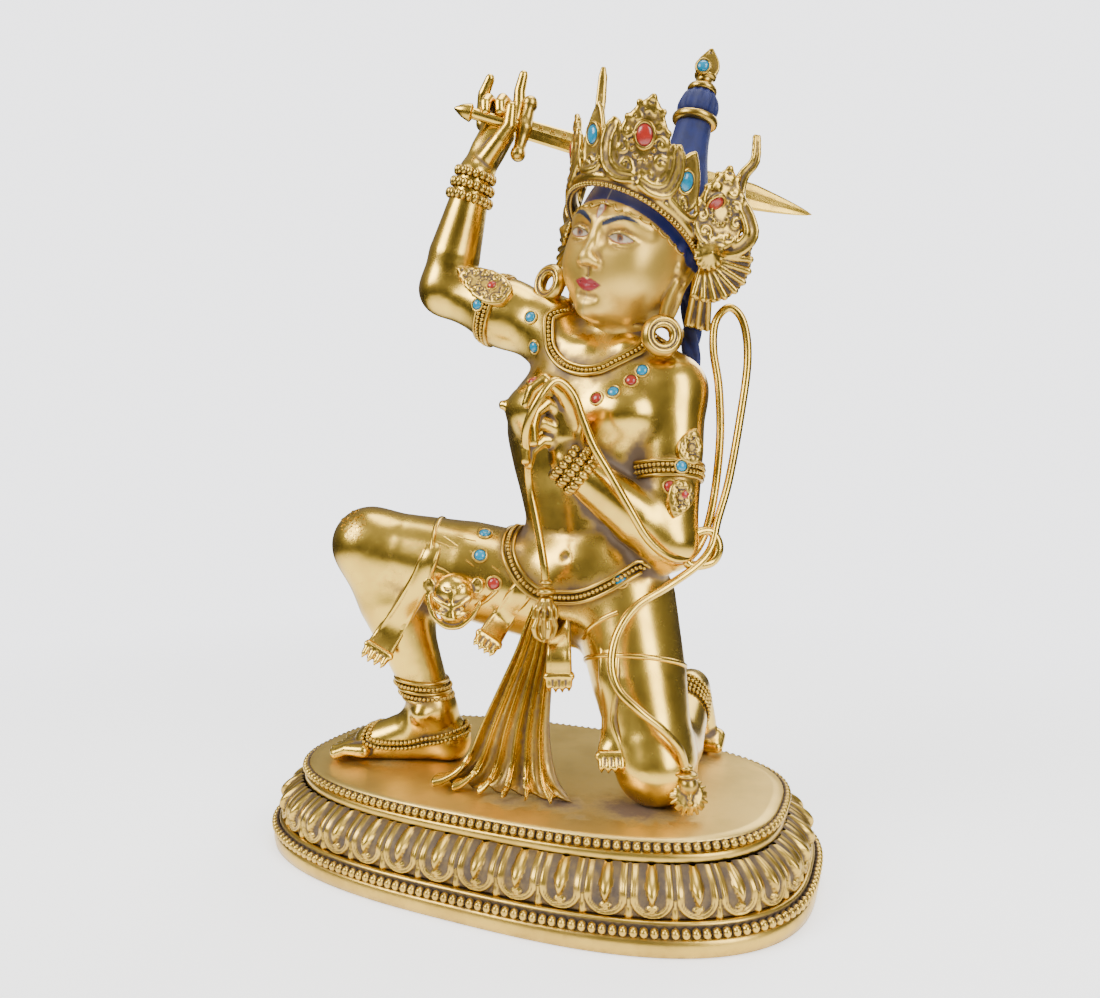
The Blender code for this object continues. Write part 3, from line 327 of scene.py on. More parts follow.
class Clay:
    def __init__(self, low, high, cell):
        self.low, self.cell = np.array(low, float), cell
        self.count = [int(math.ceil((h - l) / cell)) + 1 for l, h in zip(low, high)]
        self.field = np.full(self.count, 9.0, np.float32)

    def press(self, low, high, distance, soft, carve=False):
        first = [max(0, int((l - o) / self.cell)) for l, o in zip(low, self.low)]
        last = [min(n, int((h - o) / self.cell) + 2) for h, o, n in zip(high, self.low, self.count)]
        if any(f >= l for f, l in zip(first, last)):
            return
        spans = [np.asarray(o + self.cell * np.arange(f, l), np.float32)
            for o, f, l in zip(self.low, first, last)]
        away = distance(spans[0][:, None, None], spans[1][None, :, None], spans[2][None, None, :])
        part = self.field[first[0]:last[0], first[1]:last[1], first[2]:last[2]]
        other = -away if carve else away
        near = np.clip(1 - np.abs(part - other) / soft, 0, None) ** 2 * soft / 4
        part[:] = np.maximum(part, other) + near if carve else np.minimum(part, other) - near

    def ball(self, centre, radii, soft=2.0, carve=False, turn=None):
        if not hasattr(radii, "__len__"):
            radii = (radii,) * 3
        turn = np.eye(3) if turn is None else np.array(turn)
        reach = np.abs(turn) @ np.array(radii) + soft + self.cell

        def distance(x, y, z):
            x, y, z = x - centre[0], y - centre[1], z - centre[2]
            parts = [(turn[0, k] * x + turn[1, k] * y + turn[2, k] * z) / radii[k] for k in range(3)]
            size = np.sqrt(sum(p * p for p in parts)) + 1e-6
            slope = np.sqrt(sum((p / r) ** 2 for p, r in zip(parts, radii))) + 1e-6
            return size * (size - 1) / slope

        self.press(centre - reach, centre + reach, distance, soft, carve)

    def strand(self, stops, soft=2.0, carve=False, flat=1.0, across=None):
        stops = np.array(stops, float)
        margin = stops[:, 3].max() + soft + self.cell
        low, high = stops[:, :3].min(0) - margin, stops[:, :3].max(0) + margin
        way = None if across is None else unit(across)

        def distance(x, y, z):
            best = None
            for a, b in zip(stops, stops[1:]):
                d = b[:3] - a[:3]
                ax, ay, az = x - a[0], y - a[1], z - a[2]
                t = np.clip((ax * d[0] + ay * d[1] + az * d[2]) / max(d @ d, 1e-9), 0, 1)
                qx, qy, qz = ax - t * d[0], ay - t * d[1], az - t * d[2]
                if way is not None:
                    more = (qx * way[0] + qy * way[1] + qz * way[2]) * (1 / flat - 1)
                    qx, qy, qz = qx + way[0] * more, qy + way[1] * more, qz + way[2] * more
                away = np.sqrt(qx * qx + qy * qy + qz * qz) - (a[3] + (b[3] - a[3]) * t)
                best = away if best is None else np.minimum(best, away)
            return best * math.sqrt(flat)

        self.press(low, high, distance, soft, carve)

    def ring(self, centre, axis, radius, thick, soft=1.0, carve=False):
        axis = unit(axis)
        reach = radius + thick + soft + self.cell

        def distance(x, y, z):
            x, y, z = x - centre[0], y - centre[1], z - centre[2]
            h = x * axis[0] + y * axis[1] + z * axis[2]
            flat = np.sqrt(np.maximum(x * x + y * y + z * z - h * h, 0))
            return np.sqrt((flat - radius) ** 2 + h * h) - thick

        self.press(np.array(centre) - reach, np.array(centre) + reach, distance, soft, carve)

    def stack(self, rows, soft=2.0):
        rows = np.array(rows, float)
        fine = smoothRoute(rows, 8)
        low = (fine[:, :3] - np.c_[fine[:, 3:5], np.zeros(len(fine))]).min(0) - soft - 2
        high = (fine[:, :3] + np.c_[fine[:, 3:5], np.zeros(len(fine))]).max(0) + soft + 2

        def distance(x, y, z):
            cx, cy, wide, deep = (np.interp(z, fine[:, 2], fine[:, k]).astype(np.float32)
                for k in (0, 1, 3, 4))
            u, v = (x - cx) / wide, (y - cy) / deep
            size = np.sqrt(u * u + v * v) + 1e-6
            slope = np.sqrt((u / wide) ** 2 + (v / deep) ** 2) + 1e-6
            return np.maximum(size * (size - 1) / slope, np.maximum(fine[0, 2] - z, z - fine[-1, 2]))

        self.press(low, high, distance, soft)

    def standOn(self, height):  # nothing below this height
        heights = self.low[2] + self.cell * np.arange(self.count[2])
        self.field = np.maximum(self.field, (height - heights)[None, None, :].astype(np.float32))

    def skin(self, smoothing=2):
        field = self.field
        for axis in range(3):  # close the clay at the edges of its block
            ends = [slice(None)] * 3
            for side in (0, -1):
                ends[axis] = side
                field[tuple(ends)] = np.maximum(field[tuple(ends)], 0.3)
        inside = field < 0
        both = (slice(0, -1), slice(1, None))
        counts = sum(inside[both[i], both[j], both[k]].astype(np.int8)
            for i in (0, 1) for j in (0, 1) for k in (0, 1))
        cells = np.argwhere((counts > 0) & (counts < 8))
        index = np.full(counts.shape, -1, np.int32)
        index[tuple(cells.T)] = np.arange(len(cells))
        total, crossed = np.zeros((len(cells), 3)), np.zeros(len(cells))
        quads = []
        for axis in range(3):
            u, v = (axis + 1) % 3, (axis + 2) % 3
            for j in (0, 1):
                for k in (0, 1):
                    start = cells.copy()
                    start[:, u] += j
                    start[:, v] += k
                    end = start.copy()
                    end[:, axis] += 1
                    a, b = field[tuple(start.T)], field[tuple(end.T)]
                    cut = (a < 0) != (b < 0)
                    spot = (start - cells).astype(float)
                    spot[:, axis] = np.where(cut, a / np.where(cut, a - b, 1), 0)
                    total[cut] += spot[cut]
                    crossed += cut
            sides = [slice(None)] * 3
            sides[axis] = both[0]
            low = inside[tuple(sides)]
            sides[axis] = both[1]
            edges = np.argwhere(low != inside[tuple(sides)])
            leaving = low[tuple(edges.T)]
            ring = []
            for du, dv in ((-1, -1), (0, -1), (0, 0), (-1, 0)):
                cell = edges.copy()
                cell[:, u] += du
                cell[:, v] += dv
                ring.append(index[tuple(cell.T)])
            ring = np.stack(ring, 1)
            ring[~leaving] = ring[~leaving][:, ::-1]
            quads.append(ring)
        points = self.low + self.cell * (cells + total / crossed[:, None])
        quads = np.concatenate(quads)
        for _ in range(smoothing):
            points = points + 0.5 * (averageNear(points, quads) - points)
        return points, quads


def averageNear(values, quads):
    # the mean of each point's neighbours along the faces' edges
    first = np.concatenate([quads[:, k] for k in range(4)] + [quads[:, (k + 1) % 4] for k in range(4)])
    second = np.concatenate([quads[:, (k + 1) % 4] for k in range(4)] + [quads[:, k] for k in range(4)])
    near = np.bincount(first, minlength=len(values)).astype(float)
    if values.ndim == 1:
        return np.bincount(first, weights=values[second], minlength=len(values)) / np.maximum(near, 1)
    sums = [np.bincount(first, weights=values[second, k], minlength=len(values))
        for k in range(values.shape[1])]
    return np.stack(sums, 1) / np.maximum(near, 1)[:, None]


def hollows(points, quads, reach, passes=3):
    # how deep each point lies between its neighbours: above 0 in a crease, below 0 on a ridge
    normal = np.cross(points[quads[:, 2]] - points[quads[:, 0]], points[quads[:, 3]] - points[quads[:, 1]])
    normals = np.zeros_like(points)
    for k in range(3):
        for c in range(4):
            normals[:, k] += np.bincount(quads[:, c], weights=normal[:, k], minlength=len(points))
    normals /= np.linalg.norm(normals, axis=1)[:, None] + 1e-9
    edge = np.linalg.norm(points[quads[:, 1]] - points[quads[:, 0]], axis=1).mean()
    fine = ((averageNear(points, quads) - points) * normals).sum(1) * 4 / edge ** 2
    wide = fine
    for _ in range(passes):
        wide = 0.4 * wide + 0.6 * averageNear(wide, quads)
    return np.clip(wide * reach, -1, 1)


def toDesign(spot):
    return np.array(spot) / mm - np.array((0, 0, plateTop))


def upright(points):  # from millimetres above the plate to the frame's metres
    points = np.array(points, float)
    return (points + np.array((0, 0, plateTop))) * mm


def meshPiece(name, points, faces, material, attributes=None, smooth=True):
    mesh = bpy.data.meshes.new(name)
    mesh.from_pydata(np.asarray(points).tolist(), [], faces.tolist() if hasattr(faces, "tolist") else faces)
    for key, values in (attributes or {}).items():
        values = np.asarray(values, np.float32)
        if values.ndim == 1:
            mesh.attributes.new(key, "FLOAT", "POINT").data.foreach_set("value", values)
        else:
            mesh.attributes.new(key, "FLOAT_COLOR", "POINT").data.foreach_set("color", values.ravel())
    mesh.materials.append(material)
    if smooth:
        mesh.shade_smooth()
    piece = bpy.data.objects.new(name, mesh)
    scene.collection.objects.link(piece)
    return piece


def ringFaces(rows, count, start=0, joined=False):
    # quads between rings of points; the last ring meets the first where they are joined
    faces = []
    for j in range(rows if joined else rows - 1):
        a, b = start + j * count, start + (j + 1) % rows * count
        for k in range(count):
            n = (k + 1) % count
            faces.append((a + k, a + n, b + n, b + k))
    return faces


def capFaces(rows, count, start=0):  # one face on the first ring and one on the last
    top = start + (rows - 1) * count
    return [tuple(start + k for k in range(count - 1, -1, -1)), tuple(top + k for k in range(count))]


def faceOutward(mesh):
    bm = bmesh.new()
    bm.from_mesh(mesh)
    bmesh.ops.recalc_face_normals(bm, faces=bm.faces)
    bm.to_mesh(mesh)
    bm.free()


finished = []


def trianglesOf(piece):
    return sum(len(p.vertices) - 2 for p in piece.data.polygons)


def finish(piece, slot="gilt_metal", stands=()):
    finished.append((piece, slot, stands))
    print(f"{piece.name}: {trianglesOf(piece)} triangles")


def treeOf(points, faces):
    return BVHTree.FromPolygons([Vector(p) for p in points], [tuple(f) for f in faces])


# Node trees for what repeats along a path

def nodeTree(name, inputs):
    tree = bpy.data.node_groups.new(name, "GeometryNodeTree")
    socketOf(tree, "Geometry", "Geometry", "INPUT")
    for label, kind, value in inputs:
        socketOf(tree, label, kind, "INPUT", value)
    socketOf(tree, "Geometry", "Geometry", "OUTPUT")
    return tree, tree.nodes.new("NodeGroupInput").outputs


def closeTree(tree, given, geometry):  # smoothed, given its material and handed out
    smooth = addNode(tree, "GeometryNodeSetShadeSmooth", {"Geometry": geometry}).outputs[0]
    inputs = {"Geometry": smooth, "Material": given["Material"]}
    addNode(tree, "NodeGroupOutput",
        {"Geometry": addNode(tree, "GeometryNodeSetMaterial", inputs).outputs[0]})
    return tree


def storeNamed(tree, geometry, name, value, kind):
    inputs = {"Geometry": geometry, "Name": name, "Value": value}
    return addNode(tree, "GeometryNodeStoreNamedAttribute", inputs, data_type=kind, domain="POINT").outputs[0]


def readNamed(tree, name, kind):
    return addNode(tree, "GeometryNodeInputNamedAttribute", {"Name": name},
        data_type=kind).outputs["Attribute"]


def vectorNode(tree, kind, inputs):
    return addNode(tree, "ShaderNodeVectorMath", inputs, operation=kind).outputs["Vector"]


def buildBeadRow():
    # beads along each path, turned outward, darker at their ends and underneath
    tree, given = nodeTree("beadRow", (
        ("Spacing", "Float", 0.002), ("Radius", "Float", 0.001),
        ("Stretch", "Vector", (1, 1, 1)), ("Material", "Material", None)))
    ball = addNode(tree, "GeometryNodeMeshUVSphere",
        {"Segments": 8, "Rings": 5, "Radius": 1.0}).outputs["Mesh"]
    place = addNode(tree, "GeometryNodeInputPosition").outputs[0]
    spot = addNode(tree, "ShaderNodeSeparateXYZ", {0: place}).outputs
    edge = mapRange(tree, mathNode(tree, "ABSOLUTE", spot["X"]), 0.55, 1.0, -0.35, 0.75)
    low = mapRange(tree, spot["Z"], 0.25, -0.55, -0.35, 0.9)
    bead = storeNamed(tree, ball, "cavity", mathNode(tree, "MAXIMUM", edge, low), "FLOAT")
    curve = addNode(tree, "GeometryNodeMeshToCurve", {"Mesh": given["Geometry"]}).outputs[0]
    inputs = {"Curve": curve, "Length": given["Spacing"]}
    spaced = addNode(tree, "GeometryNodeResampleCurve", inputs, mode="LENGTH").outputs[0]
    tangent = addNode(tree, "GeometryNodeInputTangent").outputs[0]
    kept = storeNamed(tree, spaced, "along", tangent, "FLOAT_VECTOR")
    points = addNode(tree, "GeometryNodeCurveToPoints", {"Curve": kept}, mode="EVALUATED").outputs["Points"]
    turn = addNode(tree, "FunctionNodeAlignRotationToVector",
                   {"Vector": readNamed(tree, "outward", "FLOAT_VECTOR")}, axis="Z").outputs["Rotation"]
    turn = addNode(tree, "FunctionNodeAlignRotationToVector",
                   {"Rotation": turn, "Vector": readNamed(tree, "along", "FLOAT_VECTOR")},
                   axis="X", pivot_axis="Z").outputs["Rotation"]
    size = vectorNode(tree, "SCALE", {0: given["Stretch"], "Scale": given["Radius"]})
    inputs = {"Points": points, "Instance": bead, "Rotation": turn, "Scale": size}
    row = addNode(tree, "GeometryNodeInstanceOnPoints", inputs).outputs[0]
    return closeTree(tree, given, addNode(tree, "GeometryNodeRealizeInstances", {"Geometry": row}).outputs[0])


def buildWireRow():
    # a round rail along each path, as thick as the path says
    tree, given = nodeTree("wireRow", (
        ("Radius", "Float", 0.001), ("Sides", "Int", 10), ("Material", "Material", None)))
    thick = readNamed(tree, "thick", "FLOAT")
    curve = addNode(tree, "GeometryNodeMeshToCurve", {"Mesh": given["Geometry"]}).outputs[0]
    swell = addNode(tree, "GeometryNodeSetCurveRadius", {"Curve": curve, "Radius": thick}).outputs[0]
    inputs = {"Radius": given["Radius"], "Resolution": given["Sides"]}
    circle = addNode(tree, "GeometryNodeCurvePrimitiveCircle", inputs).outputs[0]
    sweep = addNode(tree, "GeometryNodeCurveToMesh",
        {"Curve": swell, "Profile Curve": circle, "Fill Caps": True})
    if "Scale" in sweep.inputs:
        tree.links.new(thick, sweep.inputs["Scale"])
    real = addNode(tree, "GeometryNodeRealizeInstances", {"Geometry": sweep.outputs[0]}).outputs[0]
    return closeTree(tree, given, real)


beadRow, wireRow = buildBeadRow(), buildWireRow()


def grow(name, base, tree, values):
    # runs a node tree on a mesh and keeps only the plain mesh that it makes
    modifier = base.modifiers.new("grow", "NODES")
    modifier.node_group = tree
    for item in tree.interface.items_tree:
        if item.item_type == "SOCKET" and item.in_out == "INPUT" and item.name in values:
            modifier[item.identifier] = values[item.name]
    bpy.context.view_layer.update()
    graph = bpy.context.evaluated_depsgraph_get()
    mesh = bpy.data.meshes.new_from_object(base.evaluated_get(graph), preserve_all_data_layers=True,
        depsgraph=graph)
    base.modifiers.remove(modifier)
    bpy.data.objects.remove(base, do_unlink=True)
    mesh.name = name
    piece = bpy.data.objects.new(name, mesh)
    scene.collection.objects.link(piece)
    return piece


def pathMesh(paths):
    # paths are (points in metres, outward ways, closed, thickness) rows
    mesh = bpy.data.meshes.new("paths")
    points, edges, outward, thick = [], [], [], []
    for path in paths:
        spots, ways, closed = path[:3]
        widths = path[3] if len(path) > 3 else np.ones(len(spots))
        start, count = len(points), len(spots)
        points += [tuple(p) for p in spots]
        outward += [tuple(w) for w in ways]
        thick += list(widths)
        edges += [(start + k, start + k + 1) for k in range(count - 1)]
        if closed:
            edges.append((start + count - 1, start))
    mesh.from_pydata(points, edges, [])
    mesh.attributes.new("outward", "FLOAT_VECTOR", "POINT").data.foreach_set("vector",
        np.array(outward, np.float32).ravel())
    mesh.attributes.new("thick", "FLOAT", "POINT").data.foreach_set("value", np.array(thick, np.float32))
    base = bpy.data.objects.new("paths", mesh)
    scene.collection.objects.link(base)
    return base


def beads(name, paths, radius, spacing, stretch=(1, 1, 1), material=None):
    values = {"Radius": radius * mm, "Spacing": spacing * mm, "Stretch": stretch,
        "Material": material or giltCarved}
    return grow(name, pathMesh(paths), beadRow, values)


def wires(name, paths, radius, sides=10, material=None):
    values = {"Radius": radius * mm, "Sides": sides, "Material": material or giltCarved}
    piece = grow(name, pathMesh(paths), wireRow, values)
    faceOutward(piece.data)
    return piece


# The lotus base

lotus = {
    "length": 273.0, "depth": 170.0, "roundness": 2.75, "beadRadius": 2.1, "beadSpacing": 3.95, "petals": 40,
    "lowerRim": (  # inset, height, darkness
        (2.6, 0.05, 0.3), (1.7, 0.7, 0.05), (1.2, 3.5, -0.1), (1.4, 6.6, 0), (2.2, 7.4, 0.2), (3.6, 7.9, 0.5),
        (4.0, 9.8, 0.6), (3.6, 11.8, 0.4), (3.9, 12.6, -0.2), (4.8, 13.0, -0.25), (6.0, 12.9, 0.0),
        (6.6, 12.5, 0.4), (8.0, 12.3, 0.6), (10.5, 12.0, 0.7),
    ),
    "upperLedge": (
        (20.0, 28.6, 0.6), (16.2, 28.9, 0.3), (15.3, 29.5, -0.1), (15.1, 30.6, -0.2), (15.2, 32.6, -0.2),
        (15.8, 33.4, -0.05), (17.2, 33.9, 0.5), (17.6, 36.6, 0.6), (18.2, 37.3, 0.5), (19.0, 37.6, 0.3),
    ),
    "plateInset": 17.6,
    "dirtAndShade": (  # x, y, reach, depth of stains and painted shade, where the casting meets the plate
        (8, -46, 16, 0.55), (30, -40, 17, 0.65), (62, -34, 22, 0.75), (-70, -26, 18, 0.4), (68, 40, 16, 0.6),
        (-44, -8, 14, 0.45), (42, -50, 9, 0.45),
    ),
}


def ovalPoint(inset, angle):
    c, s = math.cos(angle), math.sin(angle)
    power = 2 / lotus["roundness"]
    x = math.copysign(abs(c) ** power, c) * (lotus["length"] / 2 - inset)
    y = math.copysign(abs(s) ** power, s) * (lotus["depth"] / 2 - inset)
    return x, y


def ovalPath(inset, height, count=720):
    # evenly spaced points round the oval, with the ways that face out of it
    fine = np.array([ovalPoint(inset, 2 * math.pi * k / 5760) for k in range(5761)])
    steps = np.r_[0, np.cumsum(np.linalg.norm(np.diff(fine, axis=0), axis=1))]
    goals = np.linspace(0, steps[-1], count, endpoint=False)
    x, y = np.interp(goals, steps, fine[:, 0]), np.interp(goals, steps, fine[:, 1])
    dx, dy = np.roll(x, -1) - np.roll(x, 1), np.roll(y, -1) - np.roll(y, 1)
    size = np.hypot(dx, dy)
    points = np.stack([x, y, np.full(count, height)], 1) * mm
    outward = np.stack([dy / size, -dx / size, np.zeros(count)], 1)
    return points, outward, steps[-1]


def petalSheet(pitch):
    # one lotus petal, x from 0 to the pitch, y outward, z up, with its carving in y
    columns, rows = 28, 35
    low, high = 12.2, 29.8
    tip, centreRise = 0.05, 0.46  # where the tongue ends, and where its round end begins
    points, dark = [], []
    for j in range(rows + 1):
        v = j / rows  # 0 at the foot
        z = low + (high - low) * v
        rest = -6.2 - 0.6 * v - 9.0 * max(0.0, (v - 0.45) / 0.55) ** 2.0 - 1.4 * (1 - min(1, v / 0.07))
        for i in range(columns + 1):
            u = (i / columns - 0.5) * 2  # -1 to 1 across
            half = pitch / 2 * 0.93
            if v < centreRise:  # the round end
                reach = math.hypot(u * pitch / 2, (centreRise - v) / (centreRise - tip) * half)
                edge = half - reach
            else:
                edge = half - abs(u) * pitch / 2
            tall, shade = 0.0, 0.40
            if edge > 0:  # two raised lines round a hollow
                outer = max(0.0, 1 - abs(edge - 0.85) / 0.85)
                inner = max(0.0, 1 - abs(edge - 2.30) / 0.62)
                tall = 0.35 + 1.15 * math.sqrt(outer) if outer else 0.35
                tall = max(tall, 0.35 + 0.85 * math.sqrt(inner)) if inner else tall
                shade = 0.46 - 0.95 * max(outer, inner * 0.85)
                if edge > 2.9:
                    tall, shade = 0.22, 0.44
            wide = 2.75 if v > 0.66 else 2.75 - 1.9 * (0.66 - v) / 0.36
            deep = 0.40 if v > 0.66 else 0.37
            boss = 1 - (u * pitch / 2 / max(wide, 0.4)) ** 2 - ((v - 0.66) / deep) ** 2
            if boss > 0:
                tall, shade = max(tall, 0.5 + 3.0 * math.sqrt(boss)), 0.20 - 0.8 * math.sqrt(boss)
            for du, dv, r in ((-0.14, 0.27, 0.055), (0.14, 0.27, 0.055), (0, 0.20, 0.06), (0, 0.31, 0.045)):
                dot = 1 - ((u - du) / 0.10) ** 2 - ((v - dv) / r) ** 2
                if dot > 0:
                    tall, shade = max(tall, 0.5 + 1.1 * math.sqrt(dot)), -0.25
            if edge <= 0 and v < centreRise:  # the little leaf between two petals
                away = (1 - abs(u)) * pitch / 2
                body = 1 - away / (0.35 + 1.6 * max(0.0, 0.36 - v) / 0.36)
                if body > 0:
                    tall, shade = max(tall, 1.4 * min(1, body * 2.0)), 0.2 - 0.5 * min(1, body * 2)
            points.append((pitch * i / columns, rest + tall * 0.95, z))
            dark.append(shade)
    faces = []
    for j in range(rows):
        for i in range(columns):
            a = j * (columns + 1) + i
            faces.append((a, a + 1, a + columns + 2, a + columns + 1))
    return np.array(points) * mm, faces, np.array(dark)


def buildPetalRow():
    # copies of one petal in a row, bent round the outline
    tree, given = nodeTree("petalRow", (
        ("Pitch", "Float", 0.017), ("Count", "Int", 40), ("Outline", "Object", None),
        ("Material", "Material", None)))
    step = addNode(tree, "ShaderNodeCombineXYZ", {"X": given["Pitch"]}).outputs[0]
    line = addNode(tree, "GeometryNodeMeshLine", {"Count": given["Count"], "Offset": step}).outputs["Mesh"]
    inputs = {"Points": line, "Instance": given["Geometry"]}
    row = addNode(tree, "GeometryNodeInstanceOnPoints", inputs).outputs[0]
    real = addNode(tree, "GeometryNodeRealizeInstances", {"Geometry": row}).outputs[0]
    outline = addNode(tree, "GeometryNodeObjectInfo", {"Object": given["Outline"]}).outputs["Geometry"]
    curve = addNode(tree, "GeometryNodeMeshToCurve", {"Mesh": outline}).outputs[0]
    place = addNode(tree, "GeometryNodeInputPosition").outputs[0]
    spot = addNode(tree, "ShaderNodeSeparateXYZ", {0: place}).outputs
    share = mathNode(tree, "DIVIDE", spot["X"], mathNode(tree, "MULTIPLY", given["Pitch"], given["Count"]))
    sample = addNode(tree, "GeometryNodeSampleCurve", {"Curves": curve, "Factor": share},
        mode="FACTOR").outputs
    outward = vectorNode(tree, "CROSS_PRODUCT", {0: sample["Tangent"], 1: (0, 0, 1)})
    outward = vectorNode(tree, "SCALE", {0: outward, "Scale": spot["Y"]})
    moved = vectorNode(tree, "ADD", {0: sample["Position"], 1: outward})
    height = addNode(tree, "ShaderNodeCombineXYZ", {"Z": spot["Z"]}).outputs[0]
    inputs = {"Geometry": real, "Position": vectorNode(tree, "ADD", {0: moved, 1: height})}
    bent = addNode(tree, "GeometryNodeSetPosition", inputs).outputs[0]
    weld = addNode(tree, "GeometryNodeMergeByDistance", {"Geometry": bent, "Distance": 0.00008}).outputs[0]
    return closeTree(tree, given, weld)


def turnedBand(name, closeLow=False, count=360):
    # a moulding that runs round the oval
    rows = lotus[name]
    points = np.concatenate([ovalPath(inset, height, count)[0] for inset, height, _ in rows])
    faces = ringFaces(len(rows), count) + (capFaces(len(rows), count)[:1] if closeLow else [])
    shade = np.repeat([dark for _, _, dark in rows], count)
    finish(meshPiece(name, points, faces, giltCarved, {"cavity": shade}))


def makeTopPlate(count=240):
    inset, full = lotus["plateInset"], ovalPath(0, plateTop, count)[0]
    wide, deep = ((lotus[key] / 2 - inset) / (lotus[key] / 2) for key in ("length", "depth"))
    rings = [full * np.array((wide * share, deep * share, 1)) for share in np.linspace(1, 0.02, 26)]
    edge = rings[0] - np.array((0, 0, 0.9 * mm))
    rings = [edge * np.array((1.003, 1.003, 1))] + rings
    points = np.concatenate(rings)
    faces = ringFaces(len(rings), count) + capFaces(len(rings), count)[1:]
    flat = points[:, :2] / mm
    shade = np.full(len(points), -0.15)
    # stains and painted shade darken the plate where the casting meets it
    for x, y, reach, depth in lotus["dirtAndShade"]:
        near = np.exp(-((flat[:, 0] - x) ** 2 + (flat[:, 1] - y) ** 2 * 2.2) / reach ** 2)
        shade = np.maximum(shade, -0.15 + depth * near)
    finish(meshPiece("topPlate", points, faces, giltPlate, {"cavity": shade}))


def makeLotusBase():
    outline, _, length = ovalPath(0, 0, 1440)
    pitch = length / lotus["petals"]
    count = len(outline)
    mesh = bpy.data.meshes.new("outline")
    mesh.from_pydata([tuple(p) for p in outline], [(k, (k + 1) % count) for k in range(count)], [])
    guide = bpy.data.objects.new("outline", mesh)
    scene.collection.objects.link(guide)
    points, faces, dark = petalSheet(pitch)
    sheet = meshPiece("petal", points, faces, giltCarved, {"cavity": dark})
    values = {"Pitch": pitch * mm, "Count": lotus["petals"], "Outline": guide, "Material": giltCarved}
    petals = grow("lotusPetals", sheet, buildPetalRow(), values)
    bpy.data.objects.remove(guide, do_unlink=True)
    finish(petals, stands=("lotus_base",))
    turnedBand("lowerRim", closeLow=True)
    turnedBand("upperLedge")
    makeTopPlate()
    rows = [(*ovalPath(inset, height, 720)[:2], True) for inset, height in ((2.1, 9.8), (15.9, 35.9))]
    finish(beads("lotusBeads", rows, lotus["beadRadius"], lotus["beadSpacing"], (0.92, 1.0, 1.0)))


makeLotusBase()
print("lotus base made")


# The body

posture = {
    "cell": 1.36,
    "torso": (
        (26, 8, 62, 14, 12), (26, 8, 74, 28, 21), (26, 7, 86, 31, 23), (26, 5, 100, 30, 21),
        (25, 3, 117, 29, 18.5),
        (24.5, 3, 135, 32.5, 19), (25, 4, 152, 38, 22), (26, 6, 170, 43, 24), (30, 8, 188, 43.5, 23),
        (35, 10, 202, 33, 19),
        (38, 11, 211, 19, 16), (41, 10, 220, 15.0, 14.5),
    ),
    "raisedArm": ((4, 10, 218), (-52, 1, 242), (-32, -3, 297)),
    "nooseArm": ((66, 8, 184), (69, -4, 114), (29, -27, 150)),
    "rightLeg": ((6, 3, 88), (-80, -24, 109), (-51, -14, 27)),
    "leftLeg": ((45, 4, 84), (68, -21, 16.5), (66, 42, 33)),
}


def between(a, b, share):
    return tuple(p + (q - p) * share for p, q in zip(a, b))


def limb(clay, a, b, stops, soft):  # (share of the way, radius) stops from a to b
    clay.strand([(*between(a, b, share), radius) for share, radius in stops], soft=soft)


